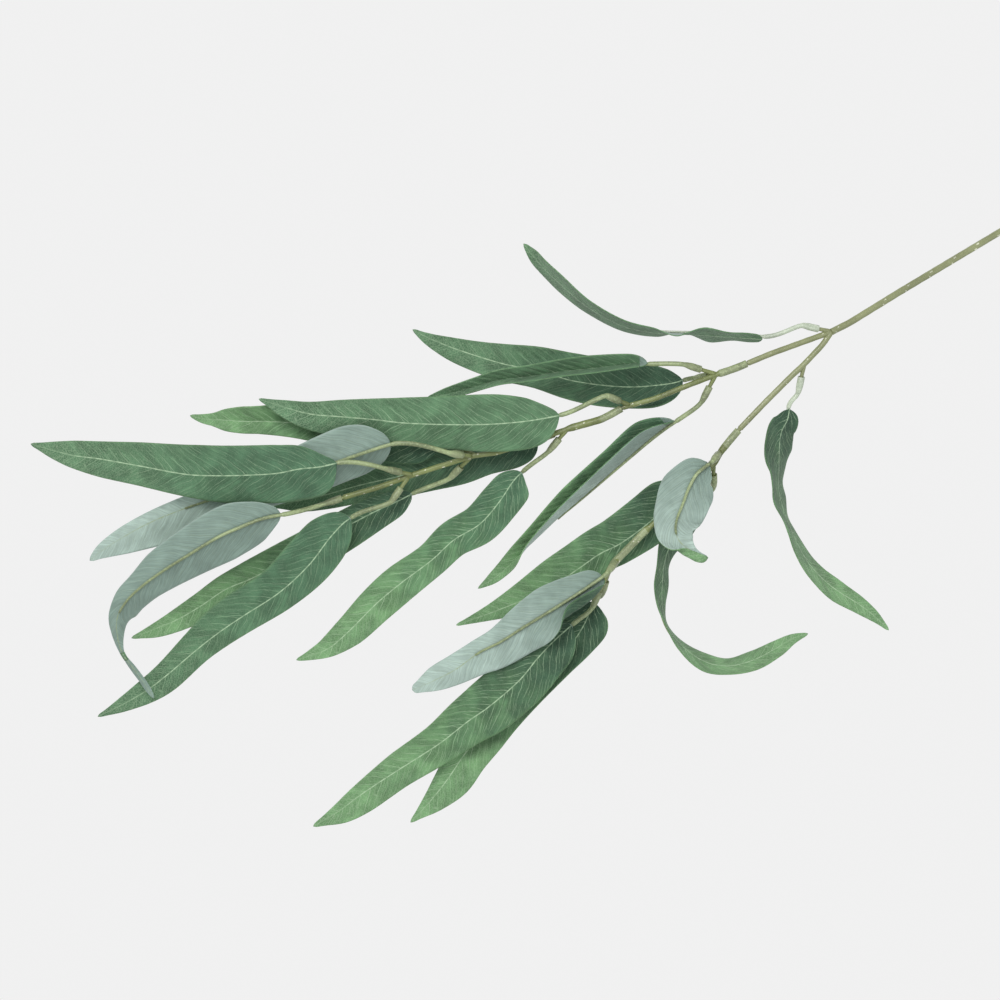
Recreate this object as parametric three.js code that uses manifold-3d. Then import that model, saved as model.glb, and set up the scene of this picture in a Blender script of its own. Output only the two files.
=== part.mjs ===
// An artificial willow spray lying on a table: a moulded stem with a wire core, three clipped-on
// limb pieces, and twenty pressed leaves, each a fabric blade on a moulded stalk with a raised midrib.
// Millimetres, +Z up. The stem's cut end is at +X +Y, the leaves spread towards -X.
import * as THREE from "three";
import Module from "manifold-3d";

const wasm = await Module();
wasm.setup();

const UP = new THREE.Vector3(0, 0, 1);
const FULL_TURN = 2 * Math.PI;

// Driving sizes
const CENTRE_X = 3.18;
const CENTRE_Y = 0.155;
const BLADE_THICKNESS = 0.6;
const MOULDED_GAP = 0.3;
const BLADE_STATIONS = 19;
const STATION_CROWDING = 1.15;
const INNER_SHARE = 0.5;
const WAVE_RISE = 1.0;
const WAVE_COUNT = 3.2;

const TUBE_SIDES = 8;
const STALK_SIDES = 6;
const NUB_RADIUS = 1.0;
const NUB_DEPTH = 4;
const SOCKET_BORE = 1.4;
const SOCKET_RADIUS = 1.9;
const SOCKET_DEPTH = 5;
const SOCKET_LENGTH = 7.5;
const SOCKET_END_RADIUS = 1.55;
const STALK_SWEEP = 4;
const STALK_LEAD_SHARE = 0.3;
const STALK_BENDS = [0.12, 0.4, 0.7];
const STALK_RADIUS = 1.25;
const RIB_RADIUS = 0.95;
const RIB_TIP_RADIUS = 0.4;
const RIB_STATIONS = 13;

const STEM_RADIUS = 1.75;
const STEM_LIE = STEM_RADIUS * Math.cos(Math.PI / TUBE_SIDES);
const LIMB_RADIUS = 1.5;
const OUTER_LIMB_RADIUS = 1.4;
const COLLAR_RADIUS = 2.2;
const COLLAR_BORE = 1.45;
const SPIGOT_RADIUS = 1.1;
const WIRE_RADIUS = 0.65;
const WIRE_BORE = 1.0;
const WIRE_STATIONS = 8;
const WIRE_END_GAP = 1.2;

const COLOURS = {
  stem: 0x8c9468,
  wire: 0x9a9c9e,
  stalk: 0xb4c29a,
  blade: 0x57805a,
};

// Centrelines, [x, y, z, radius], from the cut end towards the leaves
const MAIN_STEM = [
  [349, 211, STEM_LIE, STEM_RADIUS],
  [300, 181.5, STEM_LIE, STEM_RADIUS],
  [245, 149, STEM_LIE, STEM_RADIUS],
  [193, 117.5, 4, STEM_RADIUS],
  [143, 87, 10, STEM_RADIUS],
  [118, 72, 13.5, STEM_RADIUS],
  [92, 56.5, 18, STEM_RADIUS],
  [67.5, 41.5, 22.5, STEM_RADIUS],
  [58.5, 37, 24, STEM_RADIUS],
];
const UPPER_ARM = [
  [58.5, 37, 24, LIMB_RADIUS],
  [46, 32.5, 25, LIMB_RADIUS],
  [28, 26, 26.5, LIMB_RADIUS],
  [16.9, 21.4, 27.3, LIMB_RADIUS],
  [16.5, 21.2, 27.4, SPIGOT_RADIUS],
  [11, 19, 27.8, SPIGOT_RADIUS],
];
const LOWER_ARM = [
  [58.5, 37, 24, LIMB_RADIUS],
  [54, 30.5, 24.5, LIMB_RADIUS],
  [44.5, 20.5, 25, LIMB_RADIUS],
  [38.5, 15, 25.4, LIMB_RADIUS],
  [25.5, 2, 25.6, LIMB_RADIUS],
  [12.9, -11.2, 25.5, LIMB_RADIUS],
  [12.5, -11.6, 25.5, SPIGOT_RADIUS],
  [8.7, -16, 25.3, SPIGOT_RADIUS],
];
const UPPER_LIMB = [
  [16, 21, 27.4, COLLAR_RADIUS],
  [10.2, 18.6, 27.9, COLLAR_RADIUS],
  [3, 16.2, 28.4, COLLAR_RADIUS],
  [1.5, 15.8, 28.5, OUTER_LIMB_RADIUS],
  [-12.5, 10.5, 29.5, OUTER_LIMB_RADIUS],
  [-30, 3.5, 30.5, OUTER_LIMB_RADIUS],
  [-45.4, -0.8, 31, OUTER_LIMB_RADIUS],
  [-46, -1.1, 31, SPIGOT_RADIUS],
  [-51, -3.9, 31, SPIGOT_RADIUS],
];
const OUTER_LIMB = [
  [-46.5, -1.4, 31, COLLAR_RADIUS],
  [-52, -4.5, 31, COLLAR_RADIUS],
  [-57, -7, 31, 1.9],
  [-71, -10.8, 30.7, 1.9],
  [-74.5, -12, 30.5, OUTER_LIMB_RADIUS],
  [-92, -18, 30, OUTER_LIMB_RADIUS],
  [-109, -23.5, 29.5, OUTER_LIMB_RADIUS],
  [-120.5, -25, 29, OUTER_LIMB_RADIUS],
  [-139.5, -31, 28, OUTER_LIMB_RADIUS],
  [-152, -35, 27, OUTER_LIMB_RADIUS],
  [-167, -40.5, 26, OUTER_LIMB_RADIUS],
  [-185, -45.7, 25, OUTER_LIMB_RADIUS],
];
const LOWER_LIMB = [
  [12, -12.2, 25.5, COLLAR_RADIUS],
  [8, -16.8, 25.3, COLLAR_RADIUS],
  [3, -23, 25, 1.7],
  [0, -29, 24.5, OUTER_LIMB_RADIUS],
  [-12, -42, 23.6, OUTER_LIMB_RADIUS],
  [-32, -60.5, 22, OUTER_LIMB_RADIUS],
  [-34, -62, 21.9, 2.0],
  [-50, -78.5, 20.2, 2.0],
  [-53.5, -84, 19.5, OUTER_LIMB_RADIUS],
  [-56, -89.5, 18.9, OUTER_LIMB_RADIUS],
];
const COLLAR_BORE_STATIONS = 2;

// Leaves. node: the point on the limb that carries it; mouth: where its socket starts. The spine's rows
// run from the blade's base to its tip: [x, y, z, left tilt, right tilt, left width, right width], and in
// some leaves a left and a right curl. Left and right are as seen along the leaf from above. A half's tilt
// is its rise from level in degrees, its width is in millimetres, and a curl adds to the tilt of its outer
// strip.
const LEAVES = [
  {
    name: "leaf_01", carrier: "main_stem",
    node: [58.5, 37, 24], mouth: [52, 38.4, 25.4],
    spine: [
      [24, 33.6, 25, -60, 60, 3, 3],
      [10, 34.6, 23, -80, 80, 9, 9],
      [-3, 35.5, 21, -75, 75, 12, 12],
      [-12, 36, 19.6, -89, 89, 12.5, 12.5],
      [-18, 36.2, 18.8, -97, 97, 12.5, 12.5],
      [-29, 36.9, 17.5, -83, 83, 12.5, 12.5],
      [-45, 40.3, 16, -80, 80, 12.5, 12.5],
      [-63, 50, 13.8, -78, 78, 12, 12],
      [-76, 61, 10.5, -73, 73, 10.5, 10.5],
      [-87, 72, 5.5, -62, 62, 6, 6],
      [-95, 82, 1, -20, 20, 0.8, 0.8],
    ],
  },
  {
    name: "leaf_02", carrier: "upper_limb",
    node: [1, 15.6, 28.5], mouth: [-3.2, 15, 24.4],
    spine: [
      [-15.5, 12.8, 21.5, 10, 5, 2, 2],
      [-20, 11.5, 20.8, 20, 8, 8, 6.5],
      [-29, 10.2, 19.4, 30, 8, 12.5, 10.5],
      [-42, 9.4, 17.5, 35, 8, 13, 14],
      [-57, 10.5, 15, 35, 8, 12.8, 14],
      [-72, 13, 12, 30, 8, 11, 14],
      [-88, 18, 9, 25, 8, 10, 12],
      [-104, 21, 6.5, 20, 6, 9, 10.5],
      [-119, 25.5, 3.8, 12, 5, 8, 7.5],
      [-132, 30, 1.6, 5, 5, 6.3, 5],
      [-144, 35, 0.5, 0, 0, 3.3, 2.3],
      [-151, 38.8, 0.3, 0, 0, 0.7, 0.7],
    ],
  },
  {
    name: "leaf_03", carrier: "upper_limb",
    node: [1, 15.6, 28.5], mouth: [-7, 18, 31.6],
    spine: [
      [-33.5, 21, 33, 60, 30, 2, 2],
      [-40, 20.9, 32.5, 70, 40, 6, 6],
      [-61, 18.5, 30.5, 74, 45, 9, 9],
      [-77, 16.8, 28.8, 74, 48, 9, 9],
      [-93, 14.5, 26.6, 72, 50, 8.5, 8.5],
      [-107, 13, 24.6, 70, 50, 7.5, 7.5],
      [-120, 9.5, 22.5, 65, 45, 6, 6],
      [-132, 6.5, 20.4, 50, 40, 4, 4],
      [-143.5, 4, 18.6, 20, 20, 0.8, 0.8],
    ],
  },
  {
    name: "leaf_04", carrier: "upper_limb",
    node: [0.5, 15.4, 28.5], mouth: [-2.5, 9.5, 27.6],
    spine: [
      [-20, -7.5, 25, 100, 20, 2, 2],
      [-25, -11, 23.5, 112, 28, 8, 8],
      [-32, -16.5, 21.5, 118, 32, 12, 13],
      [-47, -29.5, 17.5, 115, 38, 13, 13.3],
      [-67, -47, 12.5, 110, 40, 13, 13],
      [-77, -55.5, 10.2, 107, 42, 11.5, 11.2],
      [-87, -65, 8, 104, 42, 9.5, 9.2],
      [-95, -72.5, 6, 90, 38, 7, 7.4],
      [-104, -81.5, 3.6, 40, 20, 3.5, 5],
      [-111, -87, 1.8, 10, 5, 2.5, 3],
      [-118, -91.5, 0.4, 0, 0, 0.6, 0.6],
    ],
  },
  {
    name: "leaf_05", carrier: "upper_limb",
    node: [-42.5, 0.2, 30.9], mouth: [-47.5, 2.2, 34.4],
    spine: [
      [-77.5, -5, 37.6, -5, 5, 3, 2],
      [-83, -6, 38, -8, 8, 10, 6],
      [-92, -7.5, 38.4, -12, 8, 14, 11.3],
      [-107, -9, 38.8, -20, 8, 14.8, 14.6],
      [-127, -9.5, 38.6, -28, 8, 14.3, 14.6],
      [-156, -8.5, 35.6, -22, 10, 11, 12.6],
      [-168.5, -7, 33.6, -20, 12, 11, 10.7],
      [-185.5, -5.5, 30.6, -12, 14, 10.5, 8.7],
      [-202, -4, 27.2, -5, 15, 8, 6.2],
      [-215, -0.5, 23.8, 0, 12, 5, 3.5],
      [-227.5, 3.5, 20, 0, 10, 0.7, 0.7],
    ],
  },
  {
    name: "leaf_06", carrier: "outer_limb",
    node: [-73.5, -11.7, 30.5], mouth: [-77.5, -16.5, 29.4],
    spine: [
      [-96, -33.2, 25, 10, 10, 2, 2],
      [-98.5, -35.5, 24.3, 14, 10, 8.5, 5],
      [-101, -38.5, 23.6, 18, 12, 11.5, 8.3],
      [-107, -47.5, 21.3, 20, 14, 11, 10.2],
      [-117, -59, 18, 24, 14, 10.8, 10.3],
      [-130, -67, 15.2, 24, 14, 9.3, 10.2],
      [-141, -77, 12.8, 22, 14, 9, 9.2],
      [-157, -89, 9.2, 18, 12, 9.8, 10],
      [-169, -99, 6.6, 14, 10, 9.8, 9],
      [-183, -113, 3.6, 8, 8, 8.2, 7.6],
      [-193, -121.5, 1.8, 5, 5, 4.6, 6],
      [-203, -125.5, 0.6, 0, 0, 2.3, 2.6],
      [-209.5, -127.5, 0.3, 0, 0, 0.7, 0.7],
    ],
  },
  {
    name: "leaf_07", carrier: "outer_limb",
    node: [-119, -24.8, 29], mouth: [-124.4, -22.4, 25.8],
    spine: [
      [-138, -21.5, 23, -10, 10, 3, 3],
      [-146, -20, 22, -10, 20, 9, 9],
      [-160, -17.5, 20, -8, 30, 11, 13],
      [-182, -12.5, 17, 0, 38, 10, 13],
      [-207, -8.5, 13.5, 12, 38, 8, 12.5],
      [-227, -7.5, 10, 18, 35, 6.8, 9.2],
      [-235, -7.5, 8, 18, 32, 6.5, 8.6],
      [-245, -6.8, 5.4, 12, 25, 5.6, 6],
      [-251, -6.5, 3.6, 8, 15, 3.4, 3.4],
      [-257, -6, 2, 5, 8, 2.3, 2.3],
      [-263, -4.5, 0.5, 0, 0, 0.7, 0.7],
    ],
  },
  {
    name: "leaf_08", carrier: "outer_limb", under: true,
    node: [-121, -25.2, 29], mouth: [-125.6, -24.6, 33],
    spine: [
      [-161, -19, 38.6, -35, 0, 2.5, 3],
      [-165, -20, 38.2, -42, 0, 8, 8],
      [-170, -21.6, 37.4, -44, 0, 11.5, 12.5],
      [-179, -24.6, 35.4, -42, -2, 14, 15.5],
      [-190, -28.5, 32.6, -40, -4, 14, 15.5],
      [-207, -34, 28, -30, -6, 13.5, 13.5],
      [-232, -41, 22, -25, -10, 13, 10],
      [-252, -47, 17, -18, -12, 13.5, 7],
      [-267, -52, 13, -15, -12, 14, 6],
      [-283, -58.5, 8.6, -12, -10, 13, 5.4],
      [-297, -66, 4.8, -8, -8, 9, 5],
      [-308, -73, 2, -3, -3, 4, 3.4],
      [-313.5, -77.5, 0.6, 0, 0, 1, 1],
    ],
  },
  {
    name: "leaf_09", carrier: "outer_limb",
    node: [-150.5, -34.6, 27.1], mouth: [-156.5, -33.2, 30.6],
    spine: [
      [-188, -28.7, 38.2, -5, 5, 3, 1.5],
      [-191, -29.3, 38.3, -15, 5, 10, 3.5],
      [-197, -30.5, 38.4, -22, 6, 15.5, 7.6],
      [-207, -31.5, 38.3, -28, 6, 17.5, 12],
      [-217, -33.5, 37.4, -28, 8, 17, 14.2],
      [-232, -34.5, 34.6, -26, 8, 15.6, 14.8],
      [-247, -34.8, 31.8, -22, 8, 14.5, 15],
      [-262, -34.3, 28, -12, 8, 11.5, 15],
      [-287, -30, 20.4, -2, 8, 9.8, 12],
      [-307, -26.5, 12.4, 4, 8, 9, 9],
      [-322, -24.5, 6, 4, 6, 6.2, 7.5],
      [-332, -22, 2.6, 2, 3, 4, 4.6],
      [-343.2, -18.8, 0.4, 0, 0, 0.8, 0.8],
    ],
  },
  {
    name: "leaf_10", carrier: "outer_limb",
    node: [-121.5, -25.4, 28.9], mouth: [-126.5, -30.5, 26.2],
    spine: [
      [-151, -44, 20.5, 5, 5, 2, 2],
      [-158, -47.5, 19.6, 5, 8, 7, 6],
      [-170, -53, 17.8, 5, 12, 9.5, 8],
      [-187, -62, 15, 5, 14, 11.5, 8.8],
      [-207, -73.5, 11.8, 5, 14, 12, 9.8],
      [-232, -86.5, 8.2, 5, 12, 11, 9.4],
      [-245, -92, 6.4, 5, 12, 9.5, 7.5],
      [-257, -100, 4.8, 5, 10, 8, 6.6],
      [-269, -107, 3, 5, 8, 6, 5.4],
      [-281, -112, 1.4, 0, 0, 4.5, 2.8],
      [-292.5, -116.5, 0.3, 0, 0, 0.7, 0.7],
    ],
  },
  {
    name: "leaf_11", carrier: "outer_limb",
    node: [-152.5, -35.2, 27], mouth: [-156.5, -41, 27.2],
    spine: [
      [-181.5, -56, 26.6, 5, 5, 2.5, 2.5],
      [-185, -58.5, 26, 8, 8, 7, 8],
      [-192, -66, 24.4, 12, 8, 11.3, 13],
      [-202, -79, 21.4, 14, 8, 11.3, 14.8],
      [-217, -93, 17.6, 15, 10, 9.8, 13.2],
      [-237, -106, 13.4, 13, 10, 8.6, 13.2],
      [-248, -113.5, 11.2, 12, 10, 8, 12],
      [-259, -122, 8.8, 10, 8, 7.5, 9.6],
      [-275, -135.5, 5, 8, 8, 8.2, 7],
      [-285, -143, 2.6, 4, 4, 6.6, 6],
      [-298, -150.5, 0.9, 0, 0, 3.6, 3.4],
      [-309.5, -156, 0.3, 0, 0, 0.7, 0.7],
    ],
  },
  {
    name: "leaf_12", carrier: "outer_limb", under: true,
    node: [-182, -44.8, 25.2], mouth: [-186, -46.1, 25.2],
    spine: [
      [-216, -54.2, 30.2, -15, 5, 2.5, 2.5],
      [-221, -55, 30.8, -25, 4, 7.5, 6],
      [-227, -56.5, 31.3, -32, 3, 12.5, 9.2],
      [-237, -60.5, 32, -35, 0, 15.5, 13],
      [-247, -65, 32.2, -36, -4, 16.8, 13.3],
      [-262, -74, 31.3, -38, -8, 14.8, 12.6],
      [-277, -83.5, 28.2, -40, -15, 13, 11.3],
      [-287, -91, 25, -40, -25, 11.4, 8.6],
      [-294, -98, 22, -38, -30, 10.5, 8],
      [-298.5, -106, 18.6, -40, -38, 9.8, 6],
      [-298.8, -114, 15.4, -52, -50, 6, 4.6],
      [-296.5, -123.5, 12.6, -50, -50, 1.7, 1.5],
      [-291, -131.5, 10.8, -50, -50, 2, 2.2],
      [-286, -138.5, 9.4, -50, -50, 2.2, 2.2],
      [-280.8, -146.5, 8, 0, 0, 0.7, 0.7],
    ],
  },
  {
    name: "leaf_13", carrier: "outer_limb",
    node: [-77, -12.9, 30.4], mouth: [-80.5, -14.2, 26.4],
    spine: [
      [-88, -16.5, 21.5, 0, 0, 2.5, 2.5],
      [-92, -18, 21, 5, 0, 8, 7],
      [-100, -20.5, 20, 5, 0, 10.5, 9],
      [-114, -23.5, 18.4, 8, 0, 11, 10],
      [-127, -27.5, 16.4, 8, 0, 11.8, 10],
      [-142, -31, 14.4, 8, 0, 11.5, 10],
      [-157, -35, 12.4, 6, 3, 10.5, 9.5],
      [-177, -39.5, 9.8, 5, 5, 9, 8.5],
      [-195, -44.5, 7.2, 5, 5, 7.3, 7],
      [-208, -47.5, 5.2, 3, 3, 5.5, 5],
      [-222, -50.5, 3.4, 0, 0, 0.7, 0.7],
    ],
  },
  {
    name: "leaf_14", carrier: "main_stem",
    node: [44.8, 20.8, 25], mouth: [43.6, 14.6, 23.2],
    spine: [
      [37.5, -1.5, 21, -20, 20, 2.5, 2.5],
      [36.5, -6.5, 20, -35, 35, 7.5, 7.5],
      [33.5, -12.5, 18.8, -50, 50, 10.8, 10.8],
      [32.5, -18.5, 17.6, -54, 54, 12.5, 12.5],
      [32.3, -24, 16.5, -57, 57, 13, 13],
      [32.2, -31, 15, -70, 70, 13, 13],
      [32, -39, 14.2, -76, 76, 13, 13],
      [33.2, -47, 13.8, -73, 73, 12.8, 12.8],
      [36, -56, 13.4, -81, 81, 12.5, 12.5],
      [39, -63, 13, -79, 79, 12, 12],
      [42.2, -70, 12, -74, 74, 11.5, 11.5],
      [48, -79.5, 10, -68, 68, 10.5, 10.5],
      [55, -87, 7.6, -60, 60, 9.5, 9.5],
      [62, -92.5, 5.4, -48, 48, 8, 8],
      [74, -100, 2.8, -35, 35, 5.2, 5.2],
      [82, -106, 1.3, -15, 15, 2.7, 2.7],
      [88.7, -112.5, 0.5, 0, 0, 0.7, 0.7],
    ],
  },
  {
    name: "leaf_15", carrier: "lower_limb", under: true,
    node: [3.2, -22.6, 25], mouth: [1.8, -24.2, 28.4],
    spine: [
      [-2.8, -29, 31.6, -8, -8, 2.5, 2.5],
      [-5.5, -31, 32.4, -10, -10, 7, 6.5],
      [-9, -34, 33.2, -12, -12, 10.3, 10],
      [-13, -41, 33.8, -12, -12, 13.6, 13.7],
      [-16, -49, 33.2, -12, -14, 13.3, 14],
      [-19, -57, 31.6, -14, -16, 12.6, 12.2],
      [-19.4, -62.5, 30, -12, -16, 11.8, 10.6, 0, 0],
      [-17.9, -67, 28.8, -10, -12, 9.8, 8.4, 0, 60],
      [-14.6, -70.4, 28, -8, 5, 6.4, 8, 0, 145],
      [-10.4, -72.8, 27.4, -5, 20, 2.2, 9, 0, 155],
      [-6.6, -74.6, 27, 0, 25, 1.2, 9, 0, 150],
      [-3.4, -75.6, 26.6, 0, 25, 0.8, 6, 0, 150],
    ],
  },
  {
    name: "leaf_16", carrier: "lower_limb",
    node: [-0.5, -29.6, 24.5], mouth: [-0.2, -34.2, 20.2],
    spine: [
      [-6, -47, 13.5, 5, 5, 2, 2],
      [-11, -53, 12.4, 5, 5, 6, 6],
      [-18, -63, 10.4, -20, 20, 7.5, 7.5],
      [-23, -72, 9, -54, 54, 8, 8],
      [-25.2, -80, 8.6, -68, 68, 8.5, 8.5],
      [-26, -90, 8.4, -64, 64, 8.5, 8.5],
      [-26, -100, 8.6, -75, 75, 8.5, 8.5],
      [-23.5, -109.5, 8.8, -86, 86, 8.5, 8.5],
      [-16.5, -119.8, 8.8, -76, 76, 8.5, 8.5],
      [-4, -128.6, 8.6, -60, 60, 8.5, 8.5],
      [8, -130.6, 8, -64, 64, 8.5, 8.5],
      [20, -127.8, 7, -56, 56, 8.2, 8.2],
      [31.5, -122, 5, -50, 50, 6.2, 6.2],
      [40, -117, 2.6, -35, 35, 3, 3],
      [48, -114.3, 0.8, 0, 0, 0.7, 0.7],
    ],
  },
  {
    name: "leaf_17", carrier: "lower_limb",
    node: [-1.5, -30.8, 24.4], mouth: [-4.5, -33.6, 21],
    spine: [
      [-13.5, -41, 17.6, 0, 0, 2.5, 2.5],
      [-17, -44, 17.6, 2, 2, 8, 9.5],
      [-22, -48.5, 17.4, 4, 5, 11, 13.5],
      [-32, -58, 16.6, 4, 5, 11.5, 14.6],
      [-47, -69, 13.6, 4, 8, 10, 14.2],
      [-57, -74, 11.4, -4, 8, 10, 13.2],
      [-67, -81, 9.4, -6, 8, 10.5, 13.2],
      [-79, -89, 7, -2, 8, 10, 12.8],
      [-92, -95.8, 5, 3, 8, 8, 10],
      [-107, -102, 2.8, 3, 5, 4.8, 5.6],
      [-119, -106.5, 1, 0, 0, 2.4, 2.6],
      [-129, -110, 0.3, 0, 0, 0.7, 0.7],
    ],
  },
  {
    name: "leaf_18", carrier: "lower_limb", under: true,
    node: [-48, -76.6, 20.4], mouth: [-49.5, -78.4, 23.4],
    spine: [
      [-55.5, -85, 30, -8, -5, 3, 3, 60],
      [-59, -87.5, 30.2, -10, -5, 9, 7, 120],
      [-67, -93, 30.4, -10, -8, 13, 10, 150],
      [-75, -98, 29.8, -10, -8, 13.5, 12, 140],
      [-83, -103, 28.8, -12, -10, 13, 13, 60],
      [-94.5, -110, 26.6, -14, -12, 13.5, 11.3, 0],
      [-107, -118, 23.8, -14, -12, 12.6, 8.2, 0],
      [-117, -123, 21.2, -14, -12, 12, 6.8, 0],
      [-129.5, -132, 17, -12, -10, 8, 7.7, 0],
      [-140, -137.5, 12.4, -5, -5, 5.6, 6.6, 0],
      [-151, -142.5, 7.4, 0, 0, 2, 2, 0],
    ],
  },
  {
    name: "leaf_19", carrier: "lower_limb",
    node: [-54.5, -86.2, 19.3], mouth: [-57.4, -93, 18.8],
    spine: [
      [-71, -109.5, 20.2, 5, 5, 2.5, 2.5],
      [-74.5, -112.5, 20, 6, 5, 9, 8],
      [-80, -117.5, 19.6, 8, 5, 13, 12],
      [-88, -126, 18.4, 10, 5, 14.3, 14],
      [-97, -137, 16.4, 10, 5, 14.3, 14.5],
      [-113, -151, 13, 10, 4, 13.8, 14],
      [-123, -158, 11, 10, 6, 12.5, 12.4],
      [-137, -169, 8.4, 8, 8, 10.4, 10.4],
      [-157, -182, 5.2, 8, 8, 9.2, 8.9],
      [-167, -188.5, 3.8, 8, 8, 9.6, 7.3],
      [-178, -196, 2.4, 5, 5, 9.6, 5.4],
      [-188, -203.5, 1.1, 0, 0, 7, 3.8],
      [-201, -211.3, 0.3, 0, 0, 0.9, 0.9],
    ],
  },
  {
    name: "leaf_20", carrier: "lower_limb",
    node: [-52.6, -82.4, 19.6], mouth: [-54, -87.6, 16.2],
    spine: [
      [-60, -98, 12.6, 10, 5, 2.5, 2.5],
      [-61.5, -101.5, 12.3, 12, 4, 8, 6],
      [-64, -108, 11.8, 14, 3, 12.5, 9.5],
      [-69.5, -117, 11, 14, 3, 10.8, 11],
      [-79.5, -127, 9.6, 14, 0, 10.5, 12],
      [-92, -139.5, 7.8, 14, 0, 10.5, 12],
      [-104.5, -153, 6.2, 12, 0, 10.5, 11],
      [-114.5, -163, 5, 12, 0, 12, 10],
      [-124.5, -174.5, 3.8, 10, 0, 12.2, 8.5],
      [-133, -187, 2.6, 8, 0, 11.8, 6.8],
      [-142, -198.5, 1.2, 3, 0, 7, 4],
      [-152, -209.3, 0.3, 0, 0, 0.8, 0.8],
    ],
  },
];

function vec(row) {
  return new THREE.Vector3(row[0], row[1], row[2]);
}

function seededRandom(seed) {
  let state = seed * 7919 + 17;
  return () => {
    state = (state * 16807) % 2147483647;
    return state / 2147483647;
  };
}

// A closed mesh from points and triangles, turned so that its faces point out
function closedGeometry(points, faces) {
  let volume = 0;
  const cross = new THREE.Vector3();
  for (const [a, b, c] of faces) {
    volume += cross.crossVectors(points[b], points[c]).dot(points[a]);
  }
  const index = faces.flatMap(([a, b, c]) => (volume > 0 ? [a, b, c] : [a, c, b]));
  const geometry = new THREE.BufferGeometry();
  geometry.setAttribute("position", new THREE.Float32BufferAttribute(
    points.flatMap((point) => point.toArray()), 3));
  geometry.setIndex(index);
  return geometry;
}

// Directions across a line of points, carried along it without twisting
function crossDirections(points, firstNormal) {
  const last = points.length - 1;
  let normal = firstNormal.clone();
  return points.map((point, i) => {
    const tangent = points[Math.min(i + 1, last)].clone().sub(points[Math.max(i - 1, 0)]).normalize();
    normal = normal.clone().addScaledVector(tangent, -normal.dot(tangent)).normalize();
    return { normal, side: tangent.clone().cross(normal) };
  });
}

function ring(centre, cross, radius, sides) {
  return Array.from({ length: sides }, (_, k) => {
    const turn = (FULL_TURN * (k + 0.5)) / sides;
    return centre.clone()
      .addScaledVector(cross.normal, radius * Math.cos(turn))
      .addScaledVector(cross.side, radius * Math.sin(turn));
  });
}

// A round-section body along stations of { point, radius }, bored from its first end over boreCount
// stations when a bore radius is given
function tube(stations, sides, boreRadius = 0, boreCount = 0) {
  const centres = stations.map((station) => station.point);
  const cross = crossDirections(centres, UP);
  const rings = stations.map((station, i) => ring(centres[i], cross[i], station.radius, sides));
  let firstCap = centres[0];
  for (let i = 0; i < boreCount; i += 1) {
    rings.unshift(ring(centres[i], cross[i], boreRadius, sides));
    firstCap = centres[i];
  }
  const points = rings.flat();
  const faces = [];
  for (let i = 0; i + 1 < rings.length; i += 1) {
    for (let k = 0; k < sides; k += 1) {
      const a = i * sides + k;
      const b = i * sides + ((k + 1) % sides);
      faces.push([a, b, b + sides], [a, b + sides, a + sides]);
    }
  }
  const start = points.push(firstCap) - 1;
  const end = points.push(centres[centres.length - 1]) - 1;
  const lastRing = (rings.length - 1) * sides;
  for (let k = 0; k < sides; k += 1) {
    const next = (k + 1) % sides;
    faces.push([start, next, k], [end, lastRing + k, lastRing + next]);
  }
  return closedGeometry(points, faces);
}

function toSolid(geometry) {
  return new wasm.Manifold(new wasm.Mesh({
    numProp: 3,
    vertProperties: geometry.getAttribute("position").array,
    triVerts: new Uint32Array(geometry.index.array),
  }));
}

function toGeometry(solid) {
  const mesh = solid.getMesh();
  const geometry = new THREE.BufferGeometry();
  geometry.setAttribute("position", new THREE.BufferAttribute(new Float32Array(mesh.vertProperties), 3));
  geometry.setIndex(new THREE.BufferAttribute(new Uint32Array(mesh.triVerts), 1));
  return geometry;
}

function join(geometries) {
  return toGeometry(geometries.map(toSolid).reduce((all, solid) => all.add(solid)));
}

function stationsOf(rows) {
  return rows.map((row) => ({ point: vec(row), radius: row[3] }));
}

// The stub on the limb that a leaf's socket is pushed over
function nub(leaf) {
  const node = vec(leaf.node);
  const mouth = vec(leaf.mouth);
  const end = mouth.clone().addScaledVector(mouth.clone().sub(node).normalize(), NUB_DEPTH);
  return tube([{ point: node, radius: NUB_RADIUS }, { point: end, radius: NUB_RADIUS }], STALK_SIDES);
}

function nubsOf(carrier) {
  return LEAVES.filter((leaf) => leaf.carrier === carrier).map(nub);
}

function mainStem() {
  const skin = tube(stationsOf(MAIN_STEM), TUBE_SIDES, WIRE_BORE, WIRE_STATIONS);
  const arms = [UPPER_ARM, LOWER_ARM].map((rows) => tube(stationsOf(rows), TUBE_SIDES));
  return join([skin, ...arms, ...nubsOf("main_stem")]);
}

function stemWire() {
  const rows = MAIN_STEM.slice(0, WIRE_STATIONS);
  const stations = rows.map((row) => ({ point: vec(row), radius: WIRE_RADIUS }));
  const last = stations[WIRE_STATIONS - 1].point;
  const back = stations[WIRE_STATIONS - 2].point.clone().sub(last).normalize();
  last.addScaledVector(back, WIRE_END_GAP);
  return tube(stations, STALK_SIDES);
}

function limb(carrier, rows) {
  const body = tube(stationsOf(rows), TUBE_SIDES, COLLAR_BORE, COLLAR_BORE_STATIONS);
  return join([body, ...nubsOf(carrier)]);
}

// A smooth value along the spine for one column of its rows
function along(rows, column, place) {
  const last = rows.length - 1;
  const span = place * last;
  const i = Math.min(Math.floor(span), last - 1);
  const value = (k) => rows[THREE.MathUtils.clamp(k, 0, last)][column] ?? 0;
  return cubic(value(i - 1), value(i), value(i + 1), value(i + 2), span - i);
}

function cubic(before, from, to, after, t) {
  const slopeFrom = (to - before) / 2;
  const slopeTo = (after - from) / 2;
  const bend = 2 * (from - to) + slopeFrom + slopeTo;
  return from + slopeFrom * t + (3 * (to - from) - 2 * slopeFrom - slopeTo) * t * t + bend * t * t * t;
}

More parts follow.
